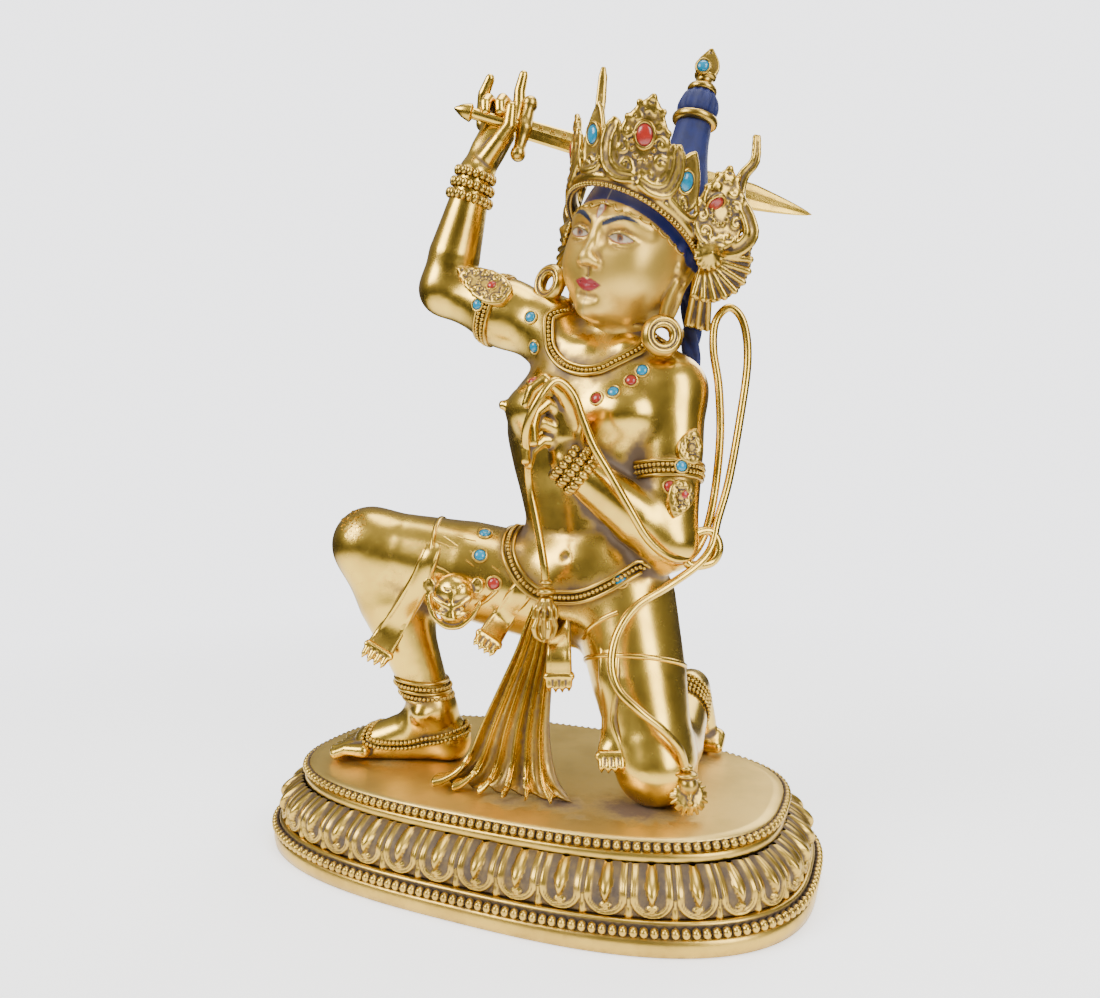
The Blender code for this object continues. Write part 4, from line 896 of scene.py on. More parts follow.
def sculptBody():
    clay = Clay((-114, -50, 0.3), (98, 68, 306), posture["cell"])
    clay.stack(posture["torso"])
    for spot, radii in (((8, -8, 177), (19.5, 14, 13.5)), ((48, -7, 173), (17, 13, 13)),
        ((26, -7, 101), (20, 13, 16)), ((26, -9, 84), (17, 10, 10))):
        clay.ball(spot, radii, soft=7)
    clay.ball((27, 24, 178), (30, 9, 26), soft=10)  # back
    shoulder, elbow, wrist = posture["raisedArm"]
    clay.strand([(16, 9, 202, 18), (*shoulder, 17.2)], soft=9)
    limb(clay, shoulder, elbow, ((0, 16.8), (0.45, 15.4), (0.8, 13.6), (1, 13.0)), 6)
    clay.ball(between(shoulder, elbow, 0.42), (17, 13.5, 16.4), soft=8)
    limb(clay, elbow, wrist, ((0, 12.6), (0.3, 13.4), (0.65, 10.8), (1, 8.4)), 5)
    shoulder, elbow, wrist = posture["nooseArm"]
    clay.strand([(52, 9, 192, 16), (*shoulder, 17.2)], soft=9)
    limb(clay, shoulder, elbow, ((0, 16.9), (0.4, 16.0), (0.75, 14.0), (1, 13.2)), 6)
    limb(clay, elbow, wrist, ((0, 12.8), (0.3, 13.4), (0.7, 10.6), (1, 8.3)), 5)
    hip, knee, ankle = posture["rightLeg"]
    limb(clay, hip, knee, ((0, 26), (0.45, 24.6), (0.8, 20.6), (1, 18.6)), 9)
    clay.ball((-84, -26, 112), (12, 12, 12), soft=8)
    limb(clay, knee, ankle, ((0, 17.8), (0.33, 17.4), (0.7, 13.0), (1, 10.4)), 7)
    clay.ball((-66, -10, 80), (12, 12, 20), soft=9)  # calf
    hip, knee, ankle = posture["leftLeg"]
    limb(clay, hip, knee, ((0, 25), (0.5, 22.0), (0.85, 18.6), (1, 16.8)), 9)
    clay.strand([(*knee, 16.3), (67, 8, 17.5, 15.6), (67, 26, 25, 13.4), (*ankle, 10.4)], soft=7)
    clay.strand([(*ankle, 10.6), (67, 51, 34, 9.6), (70, 57, 14, 8.6), (72, 57, 6, 6.4)], soft=5)
    for k in range(5):
        clay.strand([(63 + k * 4.2, 58, 8, 3.8), (62 + k * 4.6, 50, 4.2, 3.4)], soft=1.4)
    clay.strand([(40, 24, 74, 22), (18, 22, 78, 21)], soft=10)
    # creases, collar bones, navel
    clay.strand([(48, -4, 205, 3.0), (57, 0, 203, 3.2), (66, 3, 199, 3.0)], soft=6)
    clay.strand([(30, -5, 205, 3.0), (20, -3, 207, 3.2), (8, 1, 213, 3.0)], soft=6)
    clay.ball(photoPoint(503, 405, -14.5), 2.6, soft=1.0)
    clay.strand([(1, -13, 120, 0.7), (12, -17, 117.5, 1.1), (28, -18, 117, 1.1), (44, -14, 121, 0.7)],
        soft=3.2, carve=True)
    clay.strand([(31, -24, 188, 0.6), (30, -23, 170, 1.3), (29, -21, 150, 0.6)], soft=5, carve=True)
    clay.ball((24, -21.5, 107), (1.8, 3.2, 2.4), soft=2, carve=True)
    clay.standOn(0.35)
    return clay


def sculptFoot():
    clay = Clay((-112, -46, 0.3), (-30, 8, 44), 0.76)
    knee, ankle = posture["rightLeg"][1:]
    limb(clay, knee, ankle, ((0.88, 11.2), (1, 10.2)), 5)
    clay.strand([(*ankle, 10.2), (-44, -9, 10, 9.8)], soft=5)
    clay.strand([(*ankle, 9.8), (-63, -17, 14, 10.6), (-82, -22.5, 8.2, 8.0)], soft=6)
    clay.strand([(-44, -9, 9.5, 9.4), (-64, -16, 8, 8.8), (-83, -23, 7.0, 7.4)], soft=5)
    clay.ball((-51, -25, 26), 4.4, soft=4)
    clay.ball((-49, -4, 27), 4.4, soft=4)
    clay.ball((-82, -13.5, 6.5), (6, 5, 5.5), soft=5)
    for k in range(5):
        across = (k - 2) * 5.0
        start = np.array((-83 - across * 0.28, -23 + across, 6.2))
        end = np.array((-99.5 - across * 0.35 + abs(k - 1) * 1.2, -26.5 + across * 1.02, 4.0))
        knuckle = start + (end - start) * 0.6 + np.array((0, 0, 1.6))
        size = 1.22 if k == 4 else 1.0 - 0.05 * (2 - k) * (k < 2)
        clay.strand([(*start, 3.9 * size), (*knuckle, 3.15 * size), (*end, 3.0 * size)], soft=0.9)
        nail = end + np.array((-1.6, -0.4, 2.1)) * size
        clay.ball(nail, (1.7, 1.5, 0.9), soft=0.35)
    clay.standOn(0.35)
    return clay


def pieceFromClay(name, clay, place, material, reach=2.2, passes=3, smoothing=2, extra=None,
                  slot="gilt_metal", stands=()):
    points, quads = clay.skin(smoothing)
    attributes = {"cavity": hollows(points, quads, reach, passes)}
    if extra is not None:
        attributes.update(extra(points))
    placed = place(points)
    piece = meshPiece(name, placed, quads, material, attributes)
    finish(piece, slot, stands)
    return piece, placed, quads


def fineCast(name, clay, reach, place=upright, stands=()):  # small carved work, less smoothed
    return pieceFromClay(name, clay, place, giltCarved, reach, 2, 1, stands=stands)


bodyPiece, *bodySkin = pieceFromClay("body", sculptBody(), upright, giltSkin, 3.0, 6, stands=("figure",))
bodyTree = treeOf(*bodySkin)
footPiece, *footSkin = pieceFromClay("rightFoot", sculptFoot(), upright, giltSkin, 1.8)
footTree = treeOf(*footSkin)
print("body made")


def onBody(px, py, tree=None):
    # where the photograph's pixel meets the statue
    eye, way = photoRay(px, py)
    spot, normal, _, _ = (tree or bodyTree).ray_cast(eye, way)
    return spot, normal


def drape(tree, points, lift, steps=6, closed=False):
    # a smooth route laid on the surface
    route = smoothRoute(points, steps, closed)
    spots, ways = [], []
    for point in route:
        spot, normal, _, _ = tree.find_nearest(Vector(point))
        spots.append(np.array(spot) + np.array(normal) * lift * mm)
        ways.append(np.array(normal))
    spots, ways = np.array(spots), np.array(ways)
    for _ in range(2):
        inner = slice(1, -1)
        spots[inner] = 0.5 * spots[inner] + 0.25 * (spots[:-2] + spots[2:])
        ways[inner] = 0.5 * ways[inner] + 0.25 * (ways[:-2] + ways[2:])
    return spots, ways, closed


def ringRound(tree, centre, axis, lift, count=64, slide=0.0, limit=0.04):
    # a closed ring that hugs a limb
    centre, axis = Vector(upright([centre])[0]), Vector(axis).normalized()
    centre = centre + axis * slide * mm
    side = axis.orthogonal().normalized()
    other = axis.cross(side)
    reach = []
    for k in range(count):
        angle = 2 * math.pi * k / count
        way = side * math.cos(angle) + other * math.sin(angle)
        spot, _, _, away = tree.ray_cast(centre, way, limit)
        reach.append(away if spot is not None else np.nan)
    reach = np.array(reach, float)
    good = ~np.isnan(reach)
    middle = np.median(reach[good])
    reach[~good] = middle
    reach = np.clip(reach, middle * 0.75, middle * 1.3)
    for _ in range(6):
        reach = 0.5 * reach + 0.25 * (np.roll(reach, 1) + np.roll(reach, -1))
    spots, ways = [], []
    for k in range(count):
        angle = 2 * math.pi * k / count
        way = side * math.cos(angle) + other * math.sin(angle)
        spots.append(np.array(centre + way * (reach[k] + lift * mm)))
        ways.append(np.array(way))
    return np.array(spots), np.array(ways), True


def shifted(path, outward=0.0, sideways=0.0):
    # the same route, moved off the surface or along it
    spots, ways, closed = path[:3]
    along = np.roll(spots, -1, 0) - np.roll(spots, 1, 0)
    if not closed:
        along[0], along[-1] = spots[1] - spots[0], spots[-1] - spots[-2]
    side = np.cross(ways, along)
    side /= np.linalg.norm(side, axis=1)[:, None] + 1e-12
    return spots + ways * outward * mm + side * sideways * mm, ways, closed


# The head

skull = {
    "centre": (49.0, 6.0, 251.0), "lean": 18, "yaw": -12, "nod": 6, "cell": 0.65, "hairStrip": 8.2,
    "brow": (0.008, 0.014, 0.040), "lip": (0.26, 0.012, 0.016), "line": (0.02, 0.012, 0.012),
    "white": (0.50, 0.42, 0.28),
    "iris": (0.20, 0.075, 0.02), "rim": (0.36, 0.05, 0.02), "hair": (0.008, 0.016, 0.115),
}


def headMatrix():
    lean = Matrix.Rotation(math.radians(skull["lean"]), 3, "Y")
    yaw = Matrix.Rotation(math.radians(skull["yaw"]), 3, "Z")
    nod = Matrix.Rotation(math.radians(skull["nod"]), 3, "X")
    return np.array(lean @ yaw @ nod)


headTurn = headMatrix()


def fromHead(points):
    return upright(np.array(points, float) @ headTurn.T + np.array(skull["centre"]))


def toHead(point):
    return headTurn.T @ (np.array(point, float) - np.array(skull["centre"]))


def bandHeight(turn):
    return 7 + 19.3 * np.cos(turn) - np.cos(2 * turn)


def sculptHead():
    clay = Clay((-38, -45, -60), (38, 42, 48), skull["cell"])
    clay.ball((0, 0, 4), (28, 33, 39))
    clay.ball((0, -7.5, -5), (24.2, 24.2, 28), soft=9)
    clay.ball((0, -9.5, -16), (18.6, 20.3, 17), soft=9)
    clay.ball((0, -25.0, -29.6), (6.4, 5.0, 4.8), soft=8)
    clay.ball((0, -11, -26), (13, 13, 8), soft=7)
    for side in (-1, 1):
        clay.ball((side * 12.5, -18.5, -10.5), (8.6, 8.4, 9.5), soft=9)
        clay.strand([(side * 20, -22.5, 8.2, 1.6), (side * 11.5, -29.8, 10.4, 2.2),
            (side * 3.5, -32.4, 8.0, 1.6)], soft=5)
        clay.ball((side * 11.2, -34.6, 2.2), (7.8, 5.2, 4.0), soft=5, carve=True)
        clay.ball((side * 11.0, -23.6, 1.9), (7.2, 7.0, 5.0), soft=1.4)
        lid = [(4.8, -30.3, 1.3), (7.6, -31.3, 3.4), (11.2, -31.4, 4.3), (15.0, -29.8, 3.6),
            (18.4, -26.6, 1.8)]
        clay.strand([(side * x, y, z, r) for (x, y, z), r in zip(lid, (0.6, 0.95, 1.1, 0.95, 0.55))],
            soft=0.9)
        low = [(4.8, -30.3, 1.3), (8, -31.0, -0.3), (11.6, -30.8, -0.8), (15.2, -29.0, -0.2),
            (18.4, -26.6, 1.8)]
        clay.strand([(side * x, y, z, r) for (x, y, z), r in zip(low, (0.5, 0.65, 0.7, 0.65, 0.45))],
            soft=0.9)
        clay.ball((side * 3.6, -34.2, -10.2), (2.5, 3.1, 2.3), soft=1.8)
        clay.ball((side * 1.8, -35.9, -12.4), (1.0, 1.6, 0.8), soft=0.8, carve=True)
        # ear
        rim = [(26.8, -5.5, 1), (28.2, -5, 7), (29.4, -1, 10.5), (30.4, 4, 10), (30.6, 7, 5), (30.2, 6.5, -2),
            (29.4, 3.5, -9), (28.6, 1, -14)]
        clay.strand([(side * x, y, z, 1.8) for x, y, z in smoothRoute(rim, 3)], soft=1.6)
        clay.ball((side * 28.2, 1, 0.5), (2.0, 6.0, 9.5), soft=2)
        clay.ball((side * 30.8, 0.2, 0.4), (2.0, 3.0, 5.0), soft=1.6, carve=True)
        clay.strand([(side * 29.4, 3.2, 6, 0.9), (side * 30.0, 4, 0, 1.0), (side * 29.3, 1.5, -6.5, 1.0)],
            soft=1.2)
        clay.ball((side * 28.2, -4.6, -3.4), (1.6, 1.7, 2.6), soft=1.2)
        lobe = [(28.4, 1.6, -13), (27.8, 2.4, -20), (27.2, 0.6, -26), (26.8, -2.6, -28), (26.6, -4.4, -24),
            (27.0, -4.0, -17), (27.8, -2.6, -10)]
        clay.strand([(side * x, y, z, 2.2) for x, y, z in smoothRoute(lobe, 3)], soft=1.4)
        clay.strand([(side * 27.4, -1, -12, 2.0), (side * 26.8, -1.5, -25, 1.6)], soft=1.4)
    clay.strand([(0, -31.8, 7.0, 1.8), (0, -34.4, 0, 2.1), (0, -37.0, -7.0, 2.6)], soft=4.5)
    clay.ball((0, -37.3, -9.3), (3.2, 3.1, 2.9), soft=2.2)
    clay.strand([(-7.4, -26.9, -19.2, 0.6), (-3.4, -30.2, -17.7, 1.5), (0, -30.7, -18.2, 1.3),
        (3.4, -30.2, -17.7, 1.5), (7.4, -26.9, -19.2, 0.6)], soft=1.8)
    clay.strand([(-6.0, -27.8, -20.1, 0.8), (0, -30.4, -21.2, 1.9), (6.0, -27.8, -20.1, 0.8)], soft=1.8)
    clay.strand([(-8.0, -27.4, -19.2, 0.3), (-3.3, -31.9, -19.1, 0.35), (0, -32.6, -19.6, 0.35),
        (3.3, -31.9, -19.1, 0.35), (8.0, -27.4, -19.2, 0.3)], soft=0.9, carve=True)
    clay.strand([(0, -33.8, -13.2, 0.5), (0, -32.4, -16, 0.7)], soft=1.6, carve=True)
    clay.strand([(-4, -30.6, -24.6, 0.7), (0, -31.3, -24.8, 0.8), (4, -30.6, -24.6, 0.7)], soft=3.4,
        carve=True)
    clay.ball((0, -33.0, 12.6), (1.7, 1.1, 3.8), soft=1.4)  # third eye
    neckTop, neckFoot = toHead((44.5, 8.5, 236)), toHead((40, 10.5, 206))
    limb(clay, neckTop, neckFoot, ((0, 13.8), (0.5, 13.8), (1, 15.4)), 5)
    axis = neckTop - neckFoot
    for share, radius in ((0.40, 15.0), (0.58, 14.8), (0.76, 14.8)):
        spot = between(neckFoot, neckTop, share)
        clay.ring(spot, axis, radius, 0.55, soft=1.6, carve=True)
    return clay


def paintHead(points):
    x, y, z = points.T
    colour = np.zeros((len(points), 4))

    def lay(mask, tone, strength=1.0):
        mask = np.clip(mask, 0, 1)[:, None] * strength
        colour[:, :3] = colour[:, :3] * (1 - mask) + np.array(tone) * mask
        colour[:, 3:] = np.maximum(colour[:, 3:], mask)

    def soft(value, width=0.45):
        return np.clip(0.5 + value / width, 0, 1)

    front = soft(-y - 14, 3)
    side = np.abs(x)
    turn = np.arctan2(x / 31, -(y + 1) / 36)
    lay(soft(z - bandHeight(turn) + skull["hairStrip"]), skull["hair"])
    # brows: a wave that thickens towards the nose
    t = (side - 3.4) / 15.0
    middle = 6.6 + 4.0 * np.sin(np.clip(t, 0, 1) * math.pi * 0.80)
    half = 1.55 * np.sqrt(np.clip(1 - (2 * t - 0.85) ** 2 * 0.9, 0, 1)) * (1 - 0.4 * t)
    lay(front * soft(half - np.abs(z - middle)) * (t > -0.02) * (t < 1.05), skull["brow"])
    # eyes
    u = (side - 11.4) / 5.6
    upper, lower = 2.0 + 1.7 * np.clip(1 - u * u, 0, 1), 1.7 - 1.7 * np.clip(1 - u * u, 0, 1)
    seen = front * soft(upper - z) * soft(z - lower) * (np.abs(u) < 1)
    lay(seen, skull["white"])
    lay(seen * soft(1.75 - np.hypot(side - 11.2, z - 2.0)), skull["iris"])
    lay(seen * soft(0.8 - np.hypot(side - 11.2, z - 2.0)), skull["line"])
    lay(front * (np.abs(u) < 1.12) * soft(0.40 - np.abs(z - upper - 0.1)), skull["line"], 0.95)
    lay(front * (np.abs(u) < 1.0) * soft(0.34 - np.abs(z - lower + 0.15)), skull["rim"], 0.9)
    # third eye
    wide = 1.7 * np.clip(1 - ((z - 12.6) / 4.4) ** 2, 0, 1)
    inner = front * soft(wide - side)
    lay(inner, skull["white"])
    lay(inner * soft(0.95 - np.hypot(x, z - 12.6)), skull["iris"])
    lay(front * soft(0.36 - np.abs(side - wide)) * (np.abs(z - 12.6) < 4.6), skull["rim"], 0.95)
    # lips
    q = side / 7.2
    top, floor = -16.9 - 2.2 * q * q - 0.6 * np.exp(-(side / 1.1) ** 2), -22.9 + 3.6 * q * q
    lay(front * (y < -24) * soft(top - z) * soft(z - floor) * (q < 1), skull["lip"])
    return {"paint": colour}


_, *headSkin = pieceFromClay("head", sculptHead(), fromHead, giltFace, 1.0, extra=paintHead,
    slot="face_paint")
headTree = treeOf(*headSkin)
print("head made")


def lathe(name, foot, tip, rows, material, segments=48, flutes=0, depth=0.0, slot="gilt_metal"):
    # a turned shape on the line from foot to tip; rows are (distance, radius)
    foot, tip = (Vector(p) for p in upright([foot, tip]))
    axis = (tip - foot).normalized()
    side = axis.orthogonal().normalized()
    other = axis.cross(side)
    points, shade = [], []
    for away, radius in rows:
        for k in range(segments):
            angle = 2 * math.pi * k / segments
            wave = math.cos(angle * flutes) if flutes else 0
            size = radius * (1 + depth * wave) * mm
            points.append(foot + axis * away * mm + (side * math.cos(angle) + other * math.sin(angle)) * size)
            shade.append(-wave * 0.5)
    faces = ringFaces(len(rows), segments) + capFaces(len(rows), segments)
    finish(meshPiece(name, [tuple(p) for p in points], faces, material, {"cavity": shade}), slot)


def smoothRows(rows, steps=5):
    fine = smoothRoute([(a, r, 0) for a, r in rows], steps)
    return [(a, max(r, 0.05)) for a, r, _ in fine]


bun = {
    "foot": (66.5, 20, 280), "tip": (81.5, 23.5, 345.5),
    "hair": (  # name, flutes, their depth, (distance, radius) rows
        ("topKnot", 18, 0.012, (
            (-12, 10), (-8, 12.8), (0, 14.0), (9, 12.8), (18, 10.6), (26, 9.2), (33, 8.6), (36.2, 7.4),
            (37, 4))),
        ("topKnotRing", 0, 0,
        ((34.2, 7.4), (34.6, 10.0), (35.6, 11.0), (37.2, 11.1), (38.2, 10.0), (38.6, 7.0))),
        ("upperKnot", 12, 0.07, ((38.0, 7.4), (40.0, 9.0), (43.5, 9.3), (47.5, 8.0), (50.2, 5.6))),
        ("knotNeck", 0, 0, (
            (49.6, 6.0), (50.2, 7.0), (51.6, 7.2), (53.0, 6.2), (54.2, 4.4), (56.0, 4.2), (57.2, 5.2),
            (58.2, 5.0),
            (58.8, 2.0))),
    ),
}


def makeHair():
    for name, flutes, depth, rows in bun["hair"]:
        material, slot = (hairBlue, "hair_paint") if flutes else (giltCarved, "gilt_metal")
        lathe(name, bun["foot"], bun["tip"], smoothRows(rows), material, flutes=flutes, depth=depth,
            slot=slot)
    # locks that fall behind the shoulders, each of three twisted tresses
    clay = Clay((-50, 4, -64), (50, 42, 10), 0.7)
    clay.ball((0, 14, -2), (25.5, 22.5, 27), soft=3)
    for side in (-1, 1):
        route = smoothRoute(((side * 22, 20, -6), (side * 26, 25, -24), (side * 32, 22, -40),
            (side * 38, 19, -52)), 7)
        for tress in range(3):
            stops = []
            for k, point in enumerate(route):
                share = k / (len(route) - 1)
                angle = tress * 2.09 + share * 6.5
                size = 2.9 * (1 - 0.45 * share ** 2)
                stops.append((point[0] + math.cos(angle) * 2.6,
                    point[1] + math.sin(angle) * 2.6, point[2], size))
            clay.strand(stops, soft=0.7)
    pieceFromClay("hairLocks", clay, fromHead, hairBlue, 0.7, smoothing=1, slot="hair_paint")


makeHair()
print("hair made")


# The crown, in the head's own axes

diadem = {"cell": 0.66, "halfWidth": 31.0, "halfDepth": 36.0, "wall": 3.2, "height": 8.5}


def bandSpot(degrees, out=0.0, up=0.0):
    turn = math.radians(degrees)
    return np.array((
        (diadem["halfWidth"] + out) * math.sin(turn),
        -1 - (diadem["halfDepth"] + out) * math.cos(turn),
        bandHeight(turn) + up,
    ))


def scroll(centre, size, turns, way, steps=11, start=0.0):
    # a flat spiral in a leaf's own across and rise
    rows = []
    for k in range(steps + 1):
        share = k / steps
        angle = start + way * share * turns * 2 * math.pi
        reach = size * (1 - 0.82 * share)
        rows.append((centre[0] + reach * math.cos(angle), centre[1] + reach * math.sin(angle)))
    return rows


def onBand(degrees, lean):
    # a leaf's frame on the circlet: across and rise in millimetres, out of the band
    return lambda across, rise, out: bandSpot(degrees + math.degrees(across / 36), 1.6 + out + lean * rise,
        rise)


def onFlat(centre, across, upward, facing):
    # a leaf's frame on a flat place
    return lambda a, r, out: centre + across * a + upward * r + facing * out


def layOnLeaf(clay, spotOf, rows, out=0.0, thick=(1.0, 0.6), soft=0.5, carve=False):
    count = max(len(rows) - 1, 1)
    stops = [(*spotOf(a, r, out), thick[0] + (thick[1] - thick[0]) * k / count)
        for k, (a, r) in enumerate(rows)]
    clay.strand(stops, soft=soft, carve=carve)


def sculptJewelLeaf(clay, spotOf, height, half, bed=1.0):
    # a flame-shaped leaf full of curls, with a stone's bed in the middle
    outline = ((0, 0.06), (0.55, 0.08), (0.92, 0.24), (1.0, 0.44), (0.82, 0.66), (0.46, 0.86), (0.0, 1.04))
    rises = [p[1] for p in outline]
    count = int(height / 2.0)
    for share in np.linspace(0.08, 0.96, count):
        wide = np.interp(share, rises, [p[0] for p in outline]) * half * 0.88
        layOnLeaf(clay, spotOf, [(-wide, share * height), (0, share * height), (wide, share * height)], -0.3,
            (1.5, 1.5), 1.3)
    for side in (-1, 1):
        rim = smoothRoute([(side * a * half, r * height, 0) for a, r in outline], 3)[:, :2]
        layOnLeaf(clay, spotOf, rim, 0.5, (1.35, 1.0), 0.5)
        curls = ((0.50, 0.19, 3.1), (0.76, 0.38, 2.9), (0.62, 0.58, 2.7), (0.38, 0.76, 2.3),
            (0.14, 0.91, 1.6), (0.18, 0.15, 2.0))
        for number, (a, r, size) in enumerate(curls):
            reach = size * half / 11.5
            spiral = scroll((side * a * half, r * height), reach, 1.0, side * (1 if number % 2 else -1),
                start=1.2 * number)
            layOnLeaf(clay, spotOf, spiral, 1.2, (0.95, 0.75), 0.3)
            clay.ball(spotOf(side * a * half, r * height, 1.2), 0.85 * half / 11.5, soft=0.2)
        for a, r in ((1.06, 0.34), (1.04, 0.54), (0.78, 0.74), (0.44, 0.93)):  # notches outside the rim
            clay.ball(spotOf(side * a * half, r * height, 0.3), 1.5 * half / 11.5, soft=0.5)
    clay.ball(spotOf(0, height * 1.03, 0.4), 1.7 * half / 11.5, soft=0.8)
    for share in np.linspace(0, 1, 12, endpoint=False):  # grains round the stone's bed
        angle = share * 2 * math.pi
        spot = spotOf(4.9 * math.cos(angle) * bed, height * 0.48 + 6.0 * math.sin(angle) * bed, 1.5)
        clay.ball(spot, 0.95 * bed, soft=0.3)


def sculptSidePetals(clay, spotOf, reach, rise):
    # grooved petals that spring from the leaf's foot and turn up at each side
    for side in (-1, 1):
        turns = ((2, 2.5), (reach * 0.5, 1.8), (reach * 0.86, 5), (reach, 12), (reach * 0.97, rise * 0.8),
            (reach * 0.84, rise))
        route = smoothRoute([(side * a, r, 0) for a, r in turns], 4)
        along = np.gradient(route[:, :2], axis=0)
        along /= np.linalg.norm(along, axis=1)[:, None]
        count = len(route) - 1
        for shift in (-2.3, 0, 2.3):
            rows = []
            for k, (spot, way) in enumerate(zip(route, along)):
                open_ = 0.55 + 0.45 * math.sin(
                    math.pi * min(1.0, (k + 1) / (count * 0.75)) * 0.5) if k < count - 1 else 0.62
                rows.append((spot[0] - way[1] * shift * open_, spot[1] + way[0] * shift * open_))
            layOnLeaf(clay, spotOf, rows, 1.7 - 0.7 * (shift == 0), (1.45, 1.15) if shift else (1.6, 1.3),
                0.4)


def sculptPointedLeaf(clay, spotOf, base, height, half):
    # a plain leaf with a raised rim, standing in a small cup
    outline = ((0.0, 0.0), (0.62, 0.10), (1.0, 0.36), (0.78, 0.66), (0.36, 0.88), (0.0, 1.0))
    for share in np.linspace(0.06, 0.92, int(height / 1.9)):
        wide = np.interp(share, [p[1] for p in outline], [p[0] for p in outline]) * half * 0.85
        layOnLeaf(clay, spotOf, [(-wide, base + share * height), (wide, base + share * height)], 0.0,
            (1.3, 1.3), 1.2)
    for side in (-1, 1):
        rim = smoothRoute([(side * a * half, base + r * height, 0) for a, r in outline], 4)[:, :2]
        layOnLeaf(clay, spotOf, rim, 0.8, (1.15, 0.95), 0.4)
        turns = ((0.5, -1), (half * 0.9, 0.2), (half * 1.3, 4.4), (half * 1.1, 7.6))
        cup = smoothRoute([(side * a, base + r, 0) for a, r in turns], 3)[:, :2]
        layOnLeaf(clay, spotOf, cup, 1.1, (1.7, 1.0), 0.4)
    layOnLeaf(clay, spotOf, scroll((0, base + 2.8), 2.4, 1.0, 1), 1.5, (0.9, 0.7), 0.3)


def sculptWing(clay, side):
    # over the ear: jewelled leaf, daisy, fan, curling ribbon and hanging tail
    def spot(degrees, out, rise):
        return bandSpot(side * degrees, out, rise)

    facing = unit((side * 0.75, -0.65, 0.1))
    across = unit(np.cross((0, 0, 1.0), facing))
    upward = np.cross(facing, across)
    core = spot(90, 9.5, -1)
    sculptJewelLeaf(clay, onFlat(core, across, upward, facing), 34, 11.0, 0.9)
    # daisy
    centre = spot(92, 6.5, -3) + facing * 2.0
    clay.ball(centre, (5.6, 5.6, 5.6), soft=1.0)
    for k in range(14):
        angle = 2 * math.pi * k / 14
        way = across * math.cos(angle) + upward * math.sin(angle)
        clay.strand([(*(centre + way * 2.4 + facing * 3.6), 0.75),
            (*(centre + way * 6.2 + facing * 1.9), 1.25)], soft=0.25)
    clay.ball(centre + facing * 4.6, 1.8, soft=0.3)
    # fan of pleats behind the daisy
    hub = spot(94, 5, -3)
    backward = unit(spot(104, 24, -4) - hub)
    wayUp = unit(upward - backward * (upward @ backward))
    for k in range(19):
        angle = math.radians(50 - k * 7.2)
        way = backward * math.cos(angle) + wayUp * math.sin(angle)
        reach = 21.0 - 0.03 * abs(k - 7) ** 2
        ridge = facing * (1.1 if k % 2 == 0 else -0.5)
        size = 1.0 if k % 2 == 0 else 0.85
        clay.strand([(*(hub + way * 4 + ridge * 0.3), 0.9),
            (*(hub + way * reach * 0.6 + ridge * 0.8), 1.35 * size),
                     (*(hub + way * reach + ridge), 1.75 * size)], soft=0.5)
    # ribbon that curls up, three threads wide
    stops = ((100, 8, 4), (100, 17, 5), (100, 22, 12), (100, 18, 20), (100, 12, 27), (100, 11.5, 36),
        (100, 15, 43), (100, 13, 53))
    loop = smoothRoute([spot(*row) for row in stops], 4)
    along = np.gradient(loop, axis=0)
    along /= np.linalg.norm(along, axis=1)[:, None]
    sideways = np.cross(facing, along)
    count = len(loop) - 1
    for shift in (-1, 0, 1):
        rows = []
        for k, point in enumerate(loop):
            share = k / count
            wide = 2.5 * (1 - 0.6 * share ** 2)
            rows.append((*(point + sideways[k] * shift * wide + facing * (0.5 if shift else -0.2)),
                (1.75 if shift else 1.7) * (1 - 0.42 * share)))
        clay.strand(rows, soft=0.5)
    # tail behind the ear, in folds
    tail = smoothRoute([spot(d, o, u)
        for d, o, u in ((108, 3, -2), (113, 4, -10), (118, 5, -17), (121, 6, -24))], 4)
    for number, shift in enumerate((-4.6, -2.3, 0, 2.3, 4.6)):
        lift = facing * (0.8 if number % 2 == 0 else -0.4)
        clay.strand([(*(q + across * shift * (0.7 + 0.5 * k / len(tail)) + lift), 1.6)
            for k, q in enumerate(tail)], soft=0.4)


def sculptCrown():
    clay = Clay((-58, -50, -34), (58, 42, 66), diadem["cell"])
    half = diadem["height"] / 2
    for rise, size, out in ((-half + 1.0, 1.1, 1.0), (0, 2.2, 0.9), (half - 1.0, 1.1, 1.0), (-1.8, 1.5, 0.5),
        (1.8, 1.5, 0.5)):
        stops = [(*bandSpot(d, out + 0.3, rise), size) for d in range(0, 361, 5)]
        clay.strand(stops, soft=0.35)
    sculptSidePetals(clay, onBand(27, 0.10), 16, 22)
    sculptSidePetals(clay, onBand(-50, 0.10), 12.5, 19)
    sculptJewelLeaf(clay, onBand(27, 0.14), 33, 11.5)
    sculptJewelLeaf(clay, onBand(-50, 0.14), 31, 9.5, 0.85)
    sculptPointedLeaf(clay, onBand(63, 0.05), 3, 23, 6.8)
    sculptPointedLeaf(clay, onBand(-13, 0.10), 3, 26, 5.8)
    sculptWing(clay, 1)
    sculptWing(clay, -1)
    clay.ball((0, 0, 4), (28.6, 33.6, 39.6), soft=0.5, carve=True)
    return clay


_, *crownSkin = fineCast("crownLeaves", sculptCrown(), 0.9, fromHead, ("crown",))
crownTree = treeOf(*crownSkin)


def makeCircletBeads():
    middle = fromHead([(0, 0, 0)])[0]
    rows = []
    for rise in (-3.5, 3.9):
        spots = fromHead([bandSpot(d, diadem["wall"] - 0.4, rise) for d in range(0, 360, 3)])
        ways = spots - middle
        rows.append((spots, ways / np.linalg.norm(ways, axis=1)[:, None], True))
    finish(beads("circletBeads", rows, 1.15, 2.05))


